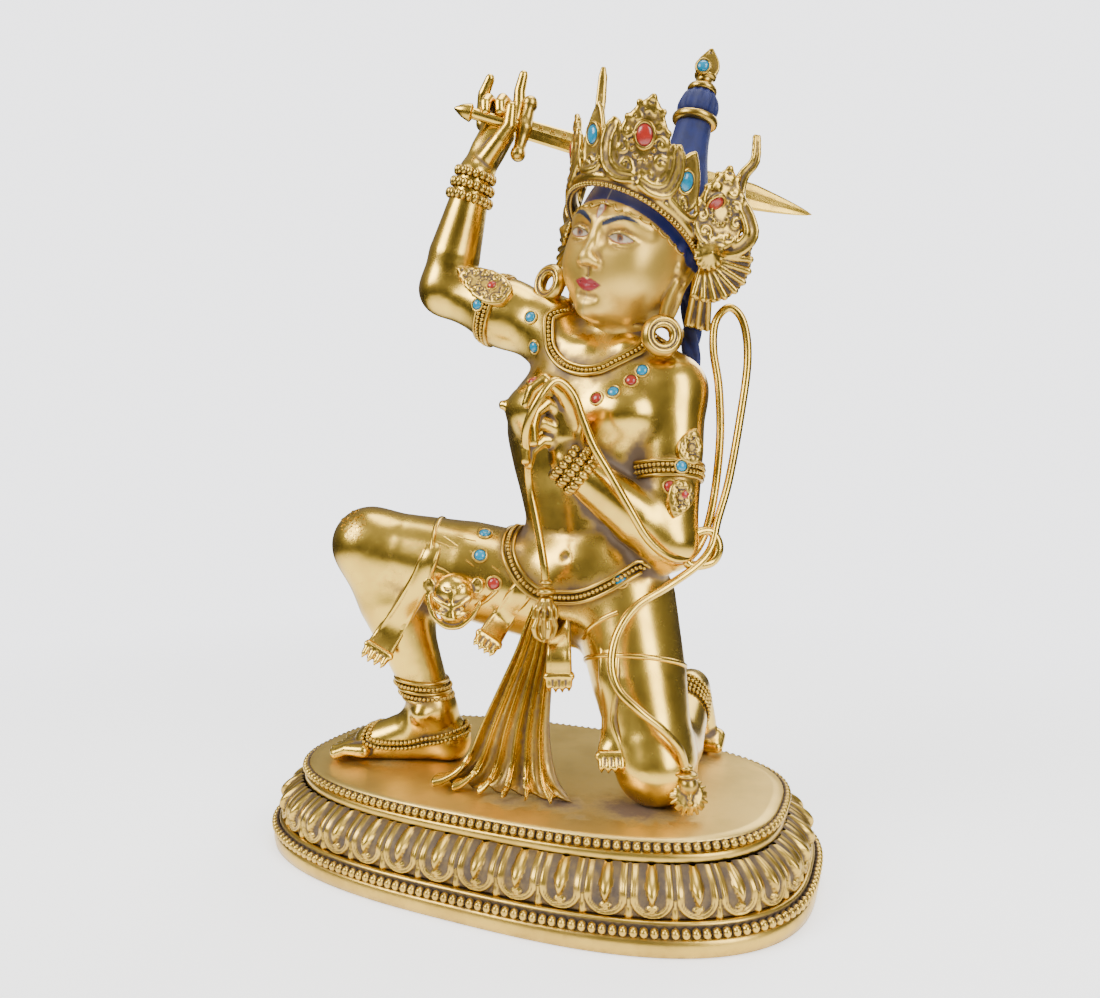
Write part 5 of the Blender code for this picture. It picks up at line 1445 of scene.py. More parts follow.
def makeHairCurls():
    # arcs of gold along the hair line
    wide, deep = diadem["halfWidth"], diadem["halfDepth"]
    curls = []
    for degrees in range(-84, 85, 9):
        spots, ways = [], []
        for k in range(9):
            angle = math.pi + math.pi * k / 8
            turn = math.radians(degrees) + 2.3 * math.cos(angle) / 33
            low = bandHeight(turn) - 7.6 + 1.7 * math.sin(angle)
            near = fromHead([(math.sin(turn) * wide, -1 - deep * math.cos(turn), low)])[0]
            spot, normal, _, _ = headTree.find_nearest(Vector(near))
            spots.append(np.array(spot) + np.array(normal) * 0.25 * mm)
            ways.append(np.array(normal))
        curls.append((np.array(spots), np.array(ways), False))
    finish(wires("hairLineCurls", curls, 0.62, 8))


def makeFarRibbon():
    # a ribbon's end that stands up on edge behind the crown
    clay = Clay((14, 4, 290), (40, 26, 352), 0.5)
    clay.strand([(22, 14, 297, 3.0), (27.2, 14, 314, 2.7), (29.6, 13.4, 330, 2.7), (31.0, 12.4, 341, 2.3),
        (31.4, 12, 344.5, 1.5)], soft=1, flat=0.55, across=toViewer)
    clay.strand([(27.4, 12.4, 315, 0.5), (29.8, 11.7, 331, 0.5), (31.0, 10.9, 340, 0.4)], soft=0.5,
        carve=True)
    for x, z, r in ((26.6, 311.6, 3.3), (25.6, 308.0, 3.0)):
        clay.ball((x, 14, z), (r, r, 1.3), soft=0.5)
    fineCast("farRibbon", clay, 0.7)


makeCircletBeads()
makeHairCurls()
makeFarRibbon()
print("crown made")


# Hands

def sculptSwordHand():
    clay = Clay((-54, -22, 284), (8, 24, 353), 0.6)
    limb(clay, *posture["raisedArm"][1:], ((0.86, 9.2), (1, 8.3)), 3)
    clay.strand([(-31, -2, 300, 8.0), (-27, 1, 310, 8.8), (-22.5, 4, 320, 8.8)], soft=4, flat=0.66,
        across=toViewer)
    clay.ball((-23, 4, 325), (9.5, 5.2, 5.6), soft=3)
    clay.strand([(-31, 3, 325, 3.5), (-30.5, 2, 331, 3.2), (-28.6, -0.5, 338, 3.0), (-24, -2, 344.5, 2.4)],
        soft=1.2)
    clay.strand([(-14, 7.5, 326, 3.8), (-12.6, 8.2, 333, 3.4), (-11.8, 7, 340, 3.0), (-9.2, 6, 347, 2.4)],
        soft=1.2)
    for x, y in ((-24.5, 1.5), (-18.0, 4.5)):
        curl = ((x, y + 2, 329, 3.5), (x, y - 0.5, 333.4, 3.3), (x + 0.3, y - 5, 333.6, 3.1),
            (x + 0.5, y - 8.4, 330.2, 2.8), (x + 0.6, y - 8.6, 326.6, 2.5))
        clay.strand(curl, soft=0.8)
    clay.strand([(-25, -3, 305, 5.0), (-17.5, -4, 312, 4.3), (-12.5, -3.5, 318, 3.5), (-11, -4, 327, 2.7)],
        soft=2)
    return clay


def sculptNooseHand():
    clay = Clay((2, -56, 138), (50, -12, 196), 0.6)
    limb(clay, *posture["nooseArm"][1:], ((0.9, 9.0), (1, 8.2)), 3)
    clay.strand([(28.5, -28, 155, 8.2), (28, -30, 164, 8.6), (28, -31, 172, 8.2)], soft=4, flat=0.64,
        across=toViewer)
    clay.strand([(30, -31, 175, 4.2), (28, -35, 182, 3.6), (23, -39.5, 186.4, 3.1), (18, -42.5, 182, 2.7),
        (15.6, -43, 176, 2.3)], soft=1.0)
    clay.strand([(26, -33, 174, 4.0), (23, -38, 176.5, 3.4), (19.5, -42.4, 172, 3.0), (18.6, -44, 166, 2.8),
        (19.2, -43.6, 159, 2.3)], soft=1.0)
    clay.strand([(24, -34, 166, 4.0), (20.5, -39, 168, 3.3), (16.6, -43, 163, 2.9), (15, -44, 157, 2.6),
        (15.2, -43.6, 151, 2.2)], soft=1.0)
    clay.strand([(23.5, -32, 160, 3.8), (20, -36.5, 160, 3.1), (16.5, -40.5, 155.5, 2.7),
        (15.5, -41, 149, 2.1)], soft=1.0)
    clay.strand([(33, -29, 168, 4.8), (32.5, -33, 175, 4.0), (30, -37.6, 181, 3.1), (26.5, -41, 184.5, 2.4)],
        soft=1.6)
    return clay


swordHandPiece = pieceFromClay("swordHand", sculptSwordHand(), upright, giltSkin, 1.6)[0]
nooseHandPiece = pieceFromClay("nooseHand", sculptNooseHand(), upright, giltSkin, 1.6)[0]
print("hands made")


# Cloth and hide

cloth = {
    "folds": 5.5, "columns": 198, "thick": 1.3,
    # x, y, z, half width, depth of the folds, flare
    "rows": (
        (16, -22, 86, 5, 1.6, 0), (14, -24.5, 74, 7.0, 2.2, 0), (12, -26.5, 62, 9.0, 2.6, 0),
        (8.5, -30, 46, 12.0, 3.0, 0), (5, -33.5, 28, 16, 3.6, 0), (3.6, -35.5, 14, 20, 4.2, 1.0),
        (3.2, -37, 7, 24, 5.0, 4.0), (2.8, -38, 3.2, 29, 5.4, 8.0), (2, -39, 1.6, 33, 4.6, 11.0),
    ),
}


def makeSash():
    fine = smoothRoute(cloth["rows"], 7)
    columns, folds = cloth["columns"], cloth["folds"]
    front, shade = [], []
    for x, y, z, half, wave, flare in fine:
        flare = max(flare, 0)
        slide = half / (math.pi * folds) * (0.72 + 0.055 * flare)
        for i in range(columns + 1):
            share = i / columns
            u = share * 2 - 1
            phase = (share * folds + 0.06 * math.sin(share * 9)) * 2 * math.pi
            fold = math.cos(phase) * (1 + 0.2 * math.sin(share * 13))
            reach = flare * (0.52 + 0.12 * math.cos(phase)) * (1 - 0.35 * abs(u))
            front.append((
                x + u * half - math.sin(phase) * slide,
                y - fold * wave * 0.5 - reach - flare * 0.10 * math.sin(phase * 2 + 0.6),
                max(1.0, z + 0.10 * flare * (1 - math.cos(phase * 2))),
            ))
            shade.append(0.02 - 0.30 * fold)
    count = len(fine)
    faces = []
    for j in range(count - 1):
        for i in range(columns):
            a = j * (columns + 1) + i
            faces.append((a, a + columns + 1, a + columns + 2, a + 1))
    piece = meshPiece("sash", upright(front), faces, giltSkin, {"cavity": np.array(shade)})
    wall = piece.modifiers.new("wall", "SOLIDIFY")
    wall.thickness = cloth["thick"] * mm
    wall.offset = -1
    finish(piece)


hide = {
    # pixel, pixel, depth and half width along each hanging leg of the hide
    "legs": (
        ((440, 530, -31, 3.6), (430, 556, -33, 4.6), (419, 584, -35, 5.4), (403, 612, -37, 6.0),
        (389, 634, -38, 6.6), (379, 650, -38.4, 7.0)),
        ((536, 574, -25, 4.4), (520, 594, -28.5, 5.4), (504, 616, -31, 5.6), (489, 639, -32.5, 6.0)),
        ((559, 622, -26.5, 5.0), (559, 650, -28.5, 5.6), (559, 676, -29.5, 6.0)),
        ((608, 640, -25, 5.4), (609, 680, -27.5, 5.6), (609, 720, -31, 5.4), (611, 755, -35, 5.8)),
    ),
    "mask": (453, 600, -37.5),
}


def legRoute(stops):
    # pixels and depths to a smooth route, laid on the skin where that is near
    rows = []
    for number, (px, py, depth, half) in enumerate(stops):
        spot, way = photoPoint(px, py, depth), np.array(toViewer)
        hit, normal = onBody(px, py)
        if hit is not None and abs(toDesign(hit)[1] - depth) < 11:
            way = np.array(normal)
            spot = toDesign(hit) - way * (2.4 if number == 0 else 0.2)
        rows.append((*spot, half, *way))
    return smoothRoute(rows, 6)


def makeHideLegs():
    # flat strips with a raised rim on each edge
    ring = [(u, 1.8 * math.sqrt(max(0, 1 - u * u * 0.9))
        + 0.45 * math.exp(-((abs(u) - 0.82) / 0.12) ** 2)) for u in np.linspace(-1, 1, 21)]
    ring += [(u, -1.6) for u in np.linspace(1, -1, 9)]
    points, faces, shade = [], [], []
    for stops in hide["legs"]:
        fine = legRoute(stops)
        along = np.gradient(fine[:, :3], axis=0)
        start = len(points)
        for row, way in zip(fine, along):
            out = row[4:] / np.linalg.norm(row[4:])
            side = unit(np.cross(way, out))
            for u, tall in ring:
                points.append(row[:3] + side * u * row[3] + out * tall)
                shade.append(0.40 if abs(u) > 0.97 else (0.10 if 0.6 < abs(u) < 0.75 else -0.15))
        faces += ringFaces(len(fine), len(ring), start) + capFaces(len(fine), len(ring), start)
    piece = meshPiece("hideLegs", upright(points), faces, giltSkin, {"cavity": shade})
    faceOutward(piece.data)
    finish(piece)


def sculptPaw(clay, stops):
    fine = legRoute(stops)
    end, half, out = fine[-1][:3], fine[-1][3], fine[-1][4:] / np.linalg.norm(fine[-1][4:])
    down = unit(end - fine[-3][:3])
    side = unit(np.cross(down, out))
    edge = [(*(end + side * u * half * 1.02 + out * 1.2 - down * 0.6 * (1 - abs(u))), 1.0)
        for u in np.linspace(-1, 1, 7)]
    clay.strand(edge, soft=0.4)
    clay.strand([(*(end - side * half * 0.8), 2.4), (*(end + side * half * 0.8), 2.4)], soft=0.8)
    for k in range(4):
        toe = end + side * (k - 1.5) * half * 0.50 + down * (1.7 + 0.5 * (k in (1, 2))) + out * 0.7
        clay.strand([(*toe, 1.75), (*(toe + down * 2.6 + out * 0.5), 1.5)], soft=0.3)
        clay.strand([(*(toe + down * 3.8 + out * 0.3), 0.95), (*(toe + down * 5.4 - out * 0.8), 0.45)],
            soft=0.25)


def sculptMask(clay):
    # the beast's face that hangs under the right thigh
    out, across = unit(toViewer), np.array(view["right"])
    heart = np.array(photoPoint(*hide["mask"]))

    def spot(sideways, rise, forward):
        return heart + across * sideways + np.array((0, 0, rise)) + out * forward

    clay.ball(spot(0, 3.5, -2), (10.0, 8.0, 8.6), soft=2.5)
    clay.ball(spot(0, -6.2, 1.6), (6.2, 5.4, 4.8), soft=2.5)
    clay.ball(spot(0, -7.6, 6.4), (2.5, 1.9, 1.5), soft=0.8)
    clay.strand([(*spot(0, 6, 5.2), 1.0), (*spot(0, -1, 6.2), 1.3), (*spot(0, -6, 6.6), 1.5)], soft=1.4)
    jaw = ((-12.4, 4.5, -2), (-11.0, -2, 0), (-8.6, -7.6, 1.6), (-4.2, -11.4, 2.6), (0, -12.4, 3),
        (4.4, -11.4, 2.6), (9.2, -7, 1.4), (12.6, -1.5, 0))
    clay.strand([(*spot(*row), 1.35) for row in smoothRoute(jaw, 3)], soft=0.6)
    mouth = ((-6.4, -8.0, 4.2), (-3.2, -10.0, 5.2), (0, -10.0, 6), (3.2, -10.0, 5.2), (6.4, -8.0, 4.2))
    clay.strand([(*spot(*row), 0.5) for row in mouth], soft=0.5, carve=True)
    for side in (-1, 1):
        brow = ((side * 1.2, -2.4, 6.4), (side * 4.4, -0.8, 5.6), (side * 8.2, 1.4, 3.2))
        clay.strand([(*spot(*row), 1.25) for row in brow], soft=0.5)
        clay.ball(spot(side * 4.4, -3.2, 4.6), (2.1, 1.6, 1.3), soft=0.4)
        clay.strand([(*spot(side * 2.4, -3.6, 6.3), 0.35), (*spot(side * 6.4, -2.6, 5.0), 0.35)], soft=0.3,
            carve=True)
        clay.strand([(*spot(side * 2.2, -7.2, 5.6), 0.7), (*spot(side * 5.4, -5.8, 4.6), 1.0),
            (*spot(side * 8.4, -4.6, 2.6), 0.7)], soft=0.6)
        ear = [(*spot(side * 11.4 + 2.3 * math.cos(a), 6.6 + 3.3 * math.sin(a), -1.0), 0.85)
            for a in np.linspace(0, 6.28, 11)]
        clay.strand(ear, soft=0.4)
        clay.ball(spot(side * 11.2, 6.6, -2.4), (2.6, 2.4, 3.4), soft=0.8)
    for rise in (5.4, 8.2):
        stripe = ((-5.2, rise + 1.6, 4.2), (-2.2, rise - 0.4, 5.4), (0, rise + 0.4, 5.8),
            (2.2, rise - 0.4, 5.4), (5.2, rise + 1.6, 4.2))
        clay.strand([(*spot(*row), 0.4) for row in stripe], soft=0.4, carve=True)


def hideHems():
    # the hide's edges where they lie on the thighs, and strokes for its stripes
    hems = (
        ((580, 672), (579, 654), (583, 638), (592, 626), (604, 618), (618, 612)),
        ((497, 590), (486, 600), (476, 606)),
    )
    strokes = (
        ((437, 541), (446, 545), (453, 548)), ((444, 536), (451, 541), (458, 546)),
        ((458, 536), (466, 539), (476, 541)),
        ((470, 551), (478, 556)), ((436, 566), (444, 570), (450, 574)), ((492, 566), (500, 572)),
        ((466, 560), (474, 566)),
    )
    made = []
    for group, lift, size in ((hems, -0.2, 1.0), (strokes, -0.16, 0.32)):
        for row in group:
            hits = [onBody(*pixel)[0] for pixel in row]
            hits = [h for h in hits if h is not None]
            if len(hits) > 1:
                spots, ways, closed = drape(bodyTree, hits, lift, steps=5)
                made.append((spots, ways, closed, np.full(len(spots), size)))
    for (hip, knee, _), share, tilt in ((posture["rightLeg"], 0.60, (0, 0, -0.25)),
        (posture["leftLeg"], 0.40, (-0.25, 0, 0))):
        axis = Vector(np.array(knee, float) - np.array(hip, float)).normalized() + Vector(tilt)
        spots, ways, closed = ringRound(bodyTree, between(hip, knee, share), axis, -0.2, limit=0.04)
        made.append((spots, ways, closed, np.ones(len(spots))))  # the hem goes on round the thigh
    return made


def makeHide():
    makeHideLegs()
    clay = Clay((-86, -54, 8), (70, -14, 108), 0.55)
    for stops in hide["legs"]:
        sculptPaw(clay, stops)
    sculptMask(clay)
    pieceFromClay("hidePawsAndMask", clay, upright, giltSkin, 0.9, 2)
    finish(wires("hideHems", hideHems(), 1.3, 8, giltSkin))


makeSash()
makeHide()
print("cloth and hide made")


# Jewellery on the body

jewels = {"fine": 1.15, "fineStep": 2.1, "rail": 0.95}


necklace = {
    "row": ((551, 316), (549, 331), (552, 349), (563, 364), (581, 371), (598, 370), (614, 363), (631, 354),
    (643, 346), (653, 335)),
    "behind": ((64, 8, 206), (58, 22, 210), (42, 28, 214), (24, 25, 216), (10, 17, 217)),
}
instep = {
    "row": ((360, 729), (366, 738), (378, 744), (404, 745), (432, 740), (464, 731)),
    "behind": ((-38, -6, 16), (-42, 2, 15), (-54, -3, 17), (-68, -9, 16), (-78, -13, 13)),
}


def necklaceRow():
    hits = [onBody(*pixel)[0] for pixel in necklace["row"]]
    around = [h for h in hits if h is not None] + [Vector(p) for p in upright(necklace["behind"])]
    return drape(bodyTree, around, 1.0, steps=8, closed=True)


def makeJewellery():
    rowsFine, rails, knobs = [], [], []
    arm, fore = posture["raisedArm"], posture["nooseArm"]

    def limbRings(a, b, share, slides, lift, into, tree=bodyTree):
        axis = np.array(b, float) - np.array(a, float)
        for slide in slides:
            into.append(ringRound(tree, between(a, b, share), axis, lift, slide=slide, limit=0.03))

    limbRings(arm[1], arm[2], 0.90, (-5.6, 0.2, 6.0), 1.0, knobs)  # bracelets
    limbRings(fore[1], fore[2], 0.95, (-4.6, 0.2, 5.0), 1.0, knobs)
    for a, b, share in ((arm[0], arm[1], 0.52), (fore[0], fore[1], 0.55)):  # armlets
        limbRings(a, b, share, (-1.3, 1.3), 0.8, rowsFine)
        limbRings(a, b, share, (-3.3, 3.3), 0.6, rails)
    knee, ankle = posture["rightLeg"][1:]
    shin = between(knee, ankle, 0.88)
    for slide, lift, into in ((-2.4, 1.2, rowsFine), (2.4, 1.2, rowsFine), (-5, 0.6, rails), (0, 0.6, rails),
        (5, 0.6, rails)):
        into.append(ringRound(bodyTree, shin, (0.10, 0, 1), lift, slide=slide, limit=0.03))  # anklets
    hits = [onBody(*pixel, footTree)[0] for pixel in instep["row"]]
    around = [h for h in hits if h is not None] + [Vector(p) for p in upright(instep["behind"])]
    strap = drape(footTree, around, 1.0, steps=8, closed=True)
    rowsFine += [shifted(strap, 0, -1.5), shifted(strap, 0, 1.5)]
    for slide in (-4.8, -1.6, 1.6, 4.8):
        rowsFine.append(ringRound(bodyTree, (66, 36, 30), (0, 0.93, 0.36), 1.0, slide=slide, limit=0.03))
    chain = necklaceRow()
    rowsFine.append(chain)
    rails += [shifted(chain, -0.1, -2.1), shifted(chain, -0.1, 2.1)]
    # belt round the hips
    front = (
        (-9, -3, 117), (-6, -19, 110), (2, -25, 98), (15, -29, 89), (30, -29, 89), (45, -24, 95),
        (58, -10, 103),
        (61, 6, 106), (52, 24, 106), (28, 32, 104), (6, 28, 107), (-6, 14, 113),
    )
    belt = drape(bodyTree, [Vector(p) for p in upright(front)], 1.2, steps=8, closed=True)
    rowsFine.append(shifted(belt, 0.4, 0))
    rails += [shifted(belt, 0.0, -2.6), shifted(belt, 0.0, 2.6)]
    finish(beads("jewelBeads", rowsFine, jewels["fine"], jewels["fineStep"]))
    finish(wires("jewelRails", rails, jewels["rail"], 8))
    finish(beads("knobBracelets", knobs, 2.0, 3.3, (1.0, 1.3, 0.95)))
    return [spots for spots, *_ in rowsFine + rails + knobs]


def sculptArmLeaf(name, foot, tip, half, bed):
    # a jewelled leaf that lies on an arm, placed by two pixels
    low, normal = onBody(*foot)
    high, _ = onBody(*tip)
    if low is None or high is None:
        return
    low, high = toDesign(low), toDesign(high)
    upward = high - low
    height = np.linalg.norm(upward)
    upward /= height
    facing = unit(np.array(normal) - upward * (np.array(normal) @ upward))
    across = np.cross(upward, facing)
    reach = height + 5
    clay = Clay(low + upward * height / 2 - reach, low + upward * height / 2 + reach, 0.42)
    sculptJewelLeaf(clay, onFlat(low + facing * 0.9, across, upward, facing), height, half, bed)
    fineCast(name, clay, 0.7)


jewelLines = makeJewellery()
sculptArmLeaf("armletLeafRaised", (510, 300), (462, 272), 7.5, 0.62)
sculptArmLeaf("armletLeafUpper", (686, 463), (693, 432), 5.4, 0.45)
sculptArmLeaf("armletLeafLower", (684, 482), (674, 514), 5.4, 0.45)


def makeKneeCrust():
    # old encrusted dirt on the knee
    rng = np.random.default_rng(5)
    spots, ways = [], []
    while len(spots) < 150:
        px, py = rng.uniform(341, 366), rng.uniform(508, 540)
        if ((px - 353) / 12) ** 2 + ((py - 524) / 16) ** 2 > 1:
            continue
        spot, normal = onBody(px, py)
        if spot is not None:
            spots.append(np.array(spot))
            ways.append(np.array(normal))
    rows = [(np.array([q, q + w * 0.0004]), np.array([w, w]), False, np.full(2, rng.uniform(0.5, 1.3)))
        for q, w in zip(spots, ways)]
    finish(wires("kneeCrust", rows, 0.75, 6))


makeKneeCrust()
print("jewellery made")


# Stones in their settings

def stoneSeats():
    seats = []
    for node in sorted(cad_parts):
        if node.startswith("stone_"):
            low, high = (np.array(c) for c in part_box(node))
            seats.append((node, (low + high) / 2))
    return seats


stones = {
    "segments": 16,
    "radius": {"crown": 3.2, "belt": 2.8, "armlet": 2.5, "collar": 2.6, "finial": 2.8},
    "frontCrown": ("stone_crown_1", "stone_crown_2"), "frontRadius": 3.5,
    "coral": ("collar_1", "collar_3", "collar_7", "armlet_2", "armlet_4", "armlet_5", "belt_2",
              "crown_1", "crown_2", "crown_5", "crown_6"),
    # height in metres, share of the radius
    "dome": ((-0.0012, 1.0), (0.0002, 1.0), (0.0007, 0.92), (0.0012, 0.72), (0.0015, 0.42), (0.0016, 0.12)),
    # the same and the darkness
    "setting": ((-0.0014, 1.35, 0.8), (0.0002, 1.42, 0.1), (0.0008, 1.32, -0.4), (0.0009, 1.16, -0.4),
                (0.0005, 1.0, 0.6), (-0.0010, 0.96, 0.9)),
}


def stoneSeat(node, centre):
    # the stone's place on the surface, the way it faces, and its radius
    family = node.split("_")[1]
    if family == "finial":
        spot, normal = Vector(centre), Vector((0.28, -0.95, 0.05)).normalized()
    else:
        spot, normal, _, _ = (crownTree if family == "crown" else bodyTree).find_nearest(Vector(centre))
    if family == "armlet":
        spot = spot + normal * 1.3 * mm
    radius = stones["frontRadius"] if node in stones["frontCrown"] else stones["radius"][family]
    return spot, normal, radius * mm


def makeStones():
    shapes = {"coral": ([], [], []), "turquoise": ([], [], [])}
    beds, bedFaces, bedShade = [], [], []
    segments, dome, setting = stones["segments"], stones["dome"], stones["setting"]
    for node, centre in stoneSeats():
        spot, normal, radius = stoneSeat(node, centre)
        side = normal.orthogonal().normalized()
        if abs(normal.z) < 0.9:
            side = Vector((0, 0, 1)).cross(normal).normalized()
        other = normal.cross(side)
        tall = 1.25 if "crown" in node else 1.0

        def circle(lift, share):
            turns = (2 * math.pi * k / segments for k in range(segments))
            return [tuple(spot + normal * lift
                          + (side * math.cos(a) + other * math.sin(a) * tall) * radius * share)
                    for a in turns]

        kind = "coral" if node.removeprefix("stone_") in stones["coral"] else "turquoise"
        points, faces, names = shapes[kind]
        names.append(node)
        faces += ringFaces(len(dome), segments, len(points)) + capFaces(len(dome), segments, len(points))
        for lift, share in dome:
            points += circle(lift, share)
        bedFaces += ringFaces(len(setting), segments, len(beds), joined=True)
        for lift, share, dark in setting:
            beds += circle(lift, share)
            bedShade += [dark] * segments
    for kind, material in (("coral", coral), ("turquoise", turquoise)):
        points, faces, names = shapes[kind]
        finish(meshPiece(kind + "Stones", points, faces, material), slot=kind, stands=tuple(names))
    finish(meshPiece("stoneSettings", beds, bedFaces, giltCarved, {"cavity": bedShade}))


makeStones()
print("stones made")


# Sword

blade = {"pommel": (-38.5, -13.0, 328.0), "tip": (123.0, 80.0, 282.0), "width": 12.5, "thick": 4.2,
    "guardAt": 36.0}


def makeSword():
    start, end = upright([blade["pommel"]])[0], upright([blade["tip"]])[0]
    along = (end - start) / np.linalg.norm(end - start)
    edge = unit(np.array((0, 0, 1.0)) - along * along[2])
    side = np.cross(edge, along)
    length = np.linalg.norm(end - start) / mm
    half, thick, guard = blade["width"] / 2, blade["thick"] / 2, blade["guardAt"]
    points, shade = [], []
    stations = [(guard, 0.82, 1.0)] + [(guard + (length * 0.82 - guard) * s, 0.82 + 0.30 * s, 1.0)
        for s in np.linspace(0.05, 1, 24)]
    stations += [(length * 0.82 + length * 0.18 * s, 1.12 * (1 - s) ** 0.72 + 0.02, 1 - 0.75 * s)
        for s in np.linspace(0.08, 1, 12)]
    full = [(1.0, 0.0), (0.72, 0.30), (0.40, 0.80), (0.0, 1.0), (-0.40, 0.80), (-0.72, 0.30), (-1.0, 0.0),
        (-0.72, -0.30), (-0.40, -0.80), (0.0, -1.0), (0.40, -0.80), (0.72, -0.30)]
    for away, wide, deep in stations:
        for y, z in full:
            points.append(start + (along * away + side * y * thick * deep + edge * z * half * wide) * mm)
            shade.append(0.15 if abs(abs(z) - 0.30) < 0.01 else -0.25)
    faces = ringFaces(len(stations), len(full)) + capFaces(len(stations), len(full))
    finish(meshPiece("swordBlade", points, faces, giltSkin, {"cavity": shade}, smooth=False),
        stands=("sword",))
    # punched rings on the blade's flat, near the guard
    rings = []
    for sign in (-1, 1):
        for k in range(7):
            middle = start + (along * (guard + 8 + k * 6.2) + side * sign * thick * 0.86 + edge * 1.9) * mm
            loop = [middle + (along * math.cos(a) + edge * math.sin(a)) * 1.25 * mm
                for a in np.linspace(0, 2 * math.pi, 9)[:-1]]
            rings.append((np.array(loop), np.tile(side * sign, (8, 1)), True))
    finish(wires("bladeMarks", rings, 0.28, 5))
    grip = ((0.6, 0.9), (4, 3.0), (7.6, 4.2), (8.6, 4.3), (9.4, 3.2), (10.4, 2.7), (22, 2.9), (33, 2.7),
        (36, 3.0))
    lathe("swordGrip", blade["pommel"], blade["tip"], [(0.0, 0.3)] + smoothRows(grip), giltSkin, segments=16)
    clay = Clay((-9, -7, -17), (9, 7, 17), 0.45)
    bulges = ((-13, 3.9), (-9.5, 3.0), (-5, 3.4), (0, 4.3), (5, 3.4), (9.5, 3.0), (13, 3.9))
    clay.strand([(0, 0, z, r) for z, r in bulges], soft=0.8)
    for z in (-13.4, 13.4):
        clay.ring((0, 0, z - 1.4 * math.copysign(1, z)), (0, 0, 1), 3.2, 0.6, soft=0.3)
    clay.ball((0, 0, 0), (4.2, 4.4, 4.6), soft=1)
    basis = np.array((along, side, edge))

    def toGuard(spots):
        return start + (np.array(spots) @ basis + along * guard) * mm

    fineCast("swordGuard", clay, 0.6, toGuard)


makeSword()
print("sword made")


# Noose

rope = {
    "radius": 1.9,
    "route": (
        (21, -34, 95), (20, -35, 106), (16, -34, 124), (13, -35, 140), (15, -41, 152), (18, -49, 164),
        (24, -50, 176), (30, -45, 185), (36, -40, 180), (40, -37, 168), (44, -35, 157), (51, -32, 144),
        (59, -29, 129), (66, -25, 116), (74, -18, 108), (80, -6, 108), (84, 1, 116), (87, 4, 128),
        (89, 7, 145), (90, 9, 165), (89, 10, 186), (86, 12, 204), (87, 13, 217), (93, 15, 223),
        (99, 17, 216), (101, 17, 198), (98, 14, 170), (94, 9, 142), (90, 4, 124), (88, 0, 112),
        (83, -6, 104), (72, -17, 95), (61, -28, 87), (55, -35, 76), (54, -40, 64), (58, -43, 54),
        (67, -43, 46), (76, -39, 38), (82, -34, 29), (84, -31, 20),
    ),
    "knot": ((80, -7, 104), (88, 0, 105), (91, 2, 112), (87, 2, 119), (80, -4, 117), (78, -7, 109)),
}


def makeNoose():
    route = smoothRoute(rope["route"], 6)
    spots = upright(route)
    ways = np.tile((0.4, -0.9, 0.1), (len(spots), 1))
    finish(wires("nooseRope", [(spots, ways, False)], rope["radius"], 14, giltSkin), stands=("noose",))
    knot = upright(smoothRoute(rope["knot"], 6, closed=True))
    finish(wires("nooseKnot", [(knot, np.tile((0.4, -0.9, 0.1), (len(knot), 1)), True)], 2.2, 12, giltSkin))
    # half sceptre below the belly, open flower by the knee
    clay = Clay((8, -46, 64), (34, -24, 102), 0.5)
    for z, r, h in ((96.5, 3.2, 1.4), (92.5, 4.4, 1.9), (89.0, 3.4, 1.2)):
        clay.ball((21, -34.5, z), (r, r, h), soft=0.4)
    for k in range(10):
        angle = 2 * math.pi * k / 10
        c, s = math.cos(angle), math.sin(angle)
        clay.strand([(21 + 2.6 * c, -34.8 + 2.6 * s, 88, 0.8), (21 + 4.9 * c, -35.2 + 4.9 * s, 84.4, 1.15),
            (21 + 5.4 * c, -35.4 + 5.4 * s, 81, 0.9)], soft=0.35)
    clay.ball((21, -35, 84.4), (4.2, 4.2, 4.6), soft=0.6)
    for k in range(4):
        angle = 2 * math.pi * (k + 0.5) / 4
        c, s = math.cos(angle), math.sin(angle)
        clay.strand([(21 + 3.4 * c, -35.5 + 3.4 * s, 81, 1.1), (21 + 5.2 * c, -35.8 + 5.2 * s, 76.5, 1.35),
            (21 + 4.2 * c, -36 + 4.2 * s, 72.5, 1.0), (21 + 1.6 * c, -36 + 1.6 * s, 70.4, 0.7)], soft=0.35)
    clay.strand([(21, -35.6, 81, 1.5), (21, -36, 70, 0.9)], soft=0.4)
    fineCast("halfSceptre", clay, 0.55)
    clay = Clay((70, -44, 0.6), (100, -14, 28), 0.5)
    for z, r in ((20.5, 3.0), (17.6, 4.9)):
        clay.ball((84.3, -30.6, z), (r, r, 1.5), soft=0.4)
    clay.ball((85, -30.4, 12.5), (4.2, 4.2, 5.0), soft=1)
    face = unit((0.40, -0.78, 0.48))
    side = unit(np.cross((0, 0, 1), face))
    rise = np.cross(face, side)
    heart = np.array((85.5, -31.5, 9.4))
    for k in range(8):
        angle = 2 * math.pi * (k + 0.5) / 8
        way = side * math.cos(angle) + rise * math.sin(angle)
        for shift in (-0.30, 0, 0.30):
            bent = side * math.cos(angle + shift) + rise * math.sin(angle + shift)
            clay.strand([(*(heart + way * 1.6 + face * 1.0), 0.8), (*(heart + bent * 5.2 + face * 0.6), 1.0),
                (*(heart + bent * (8.2 - 6 * abs(shift) ** 2) - face * 0.8), 0.75)], soft=0.3)
    for k in range(4):
        clay.ball(heart + rise * (k - 1.5) * 2.4 + face * 1.9, 1.15, soft=0.3)
    fineCast("nooseFlower", clay, 0.55)


makeNoose()


# Earrings

earrings = (
    ("earringLeft", "earring_left", (67.5, -10.0, 207.5), (0.55, -0.83, 0.0)),
    ("earringRight", "earring_right", (7.5, 1.0, 239.5), (-0.35, -0.93, 0.1)),
)


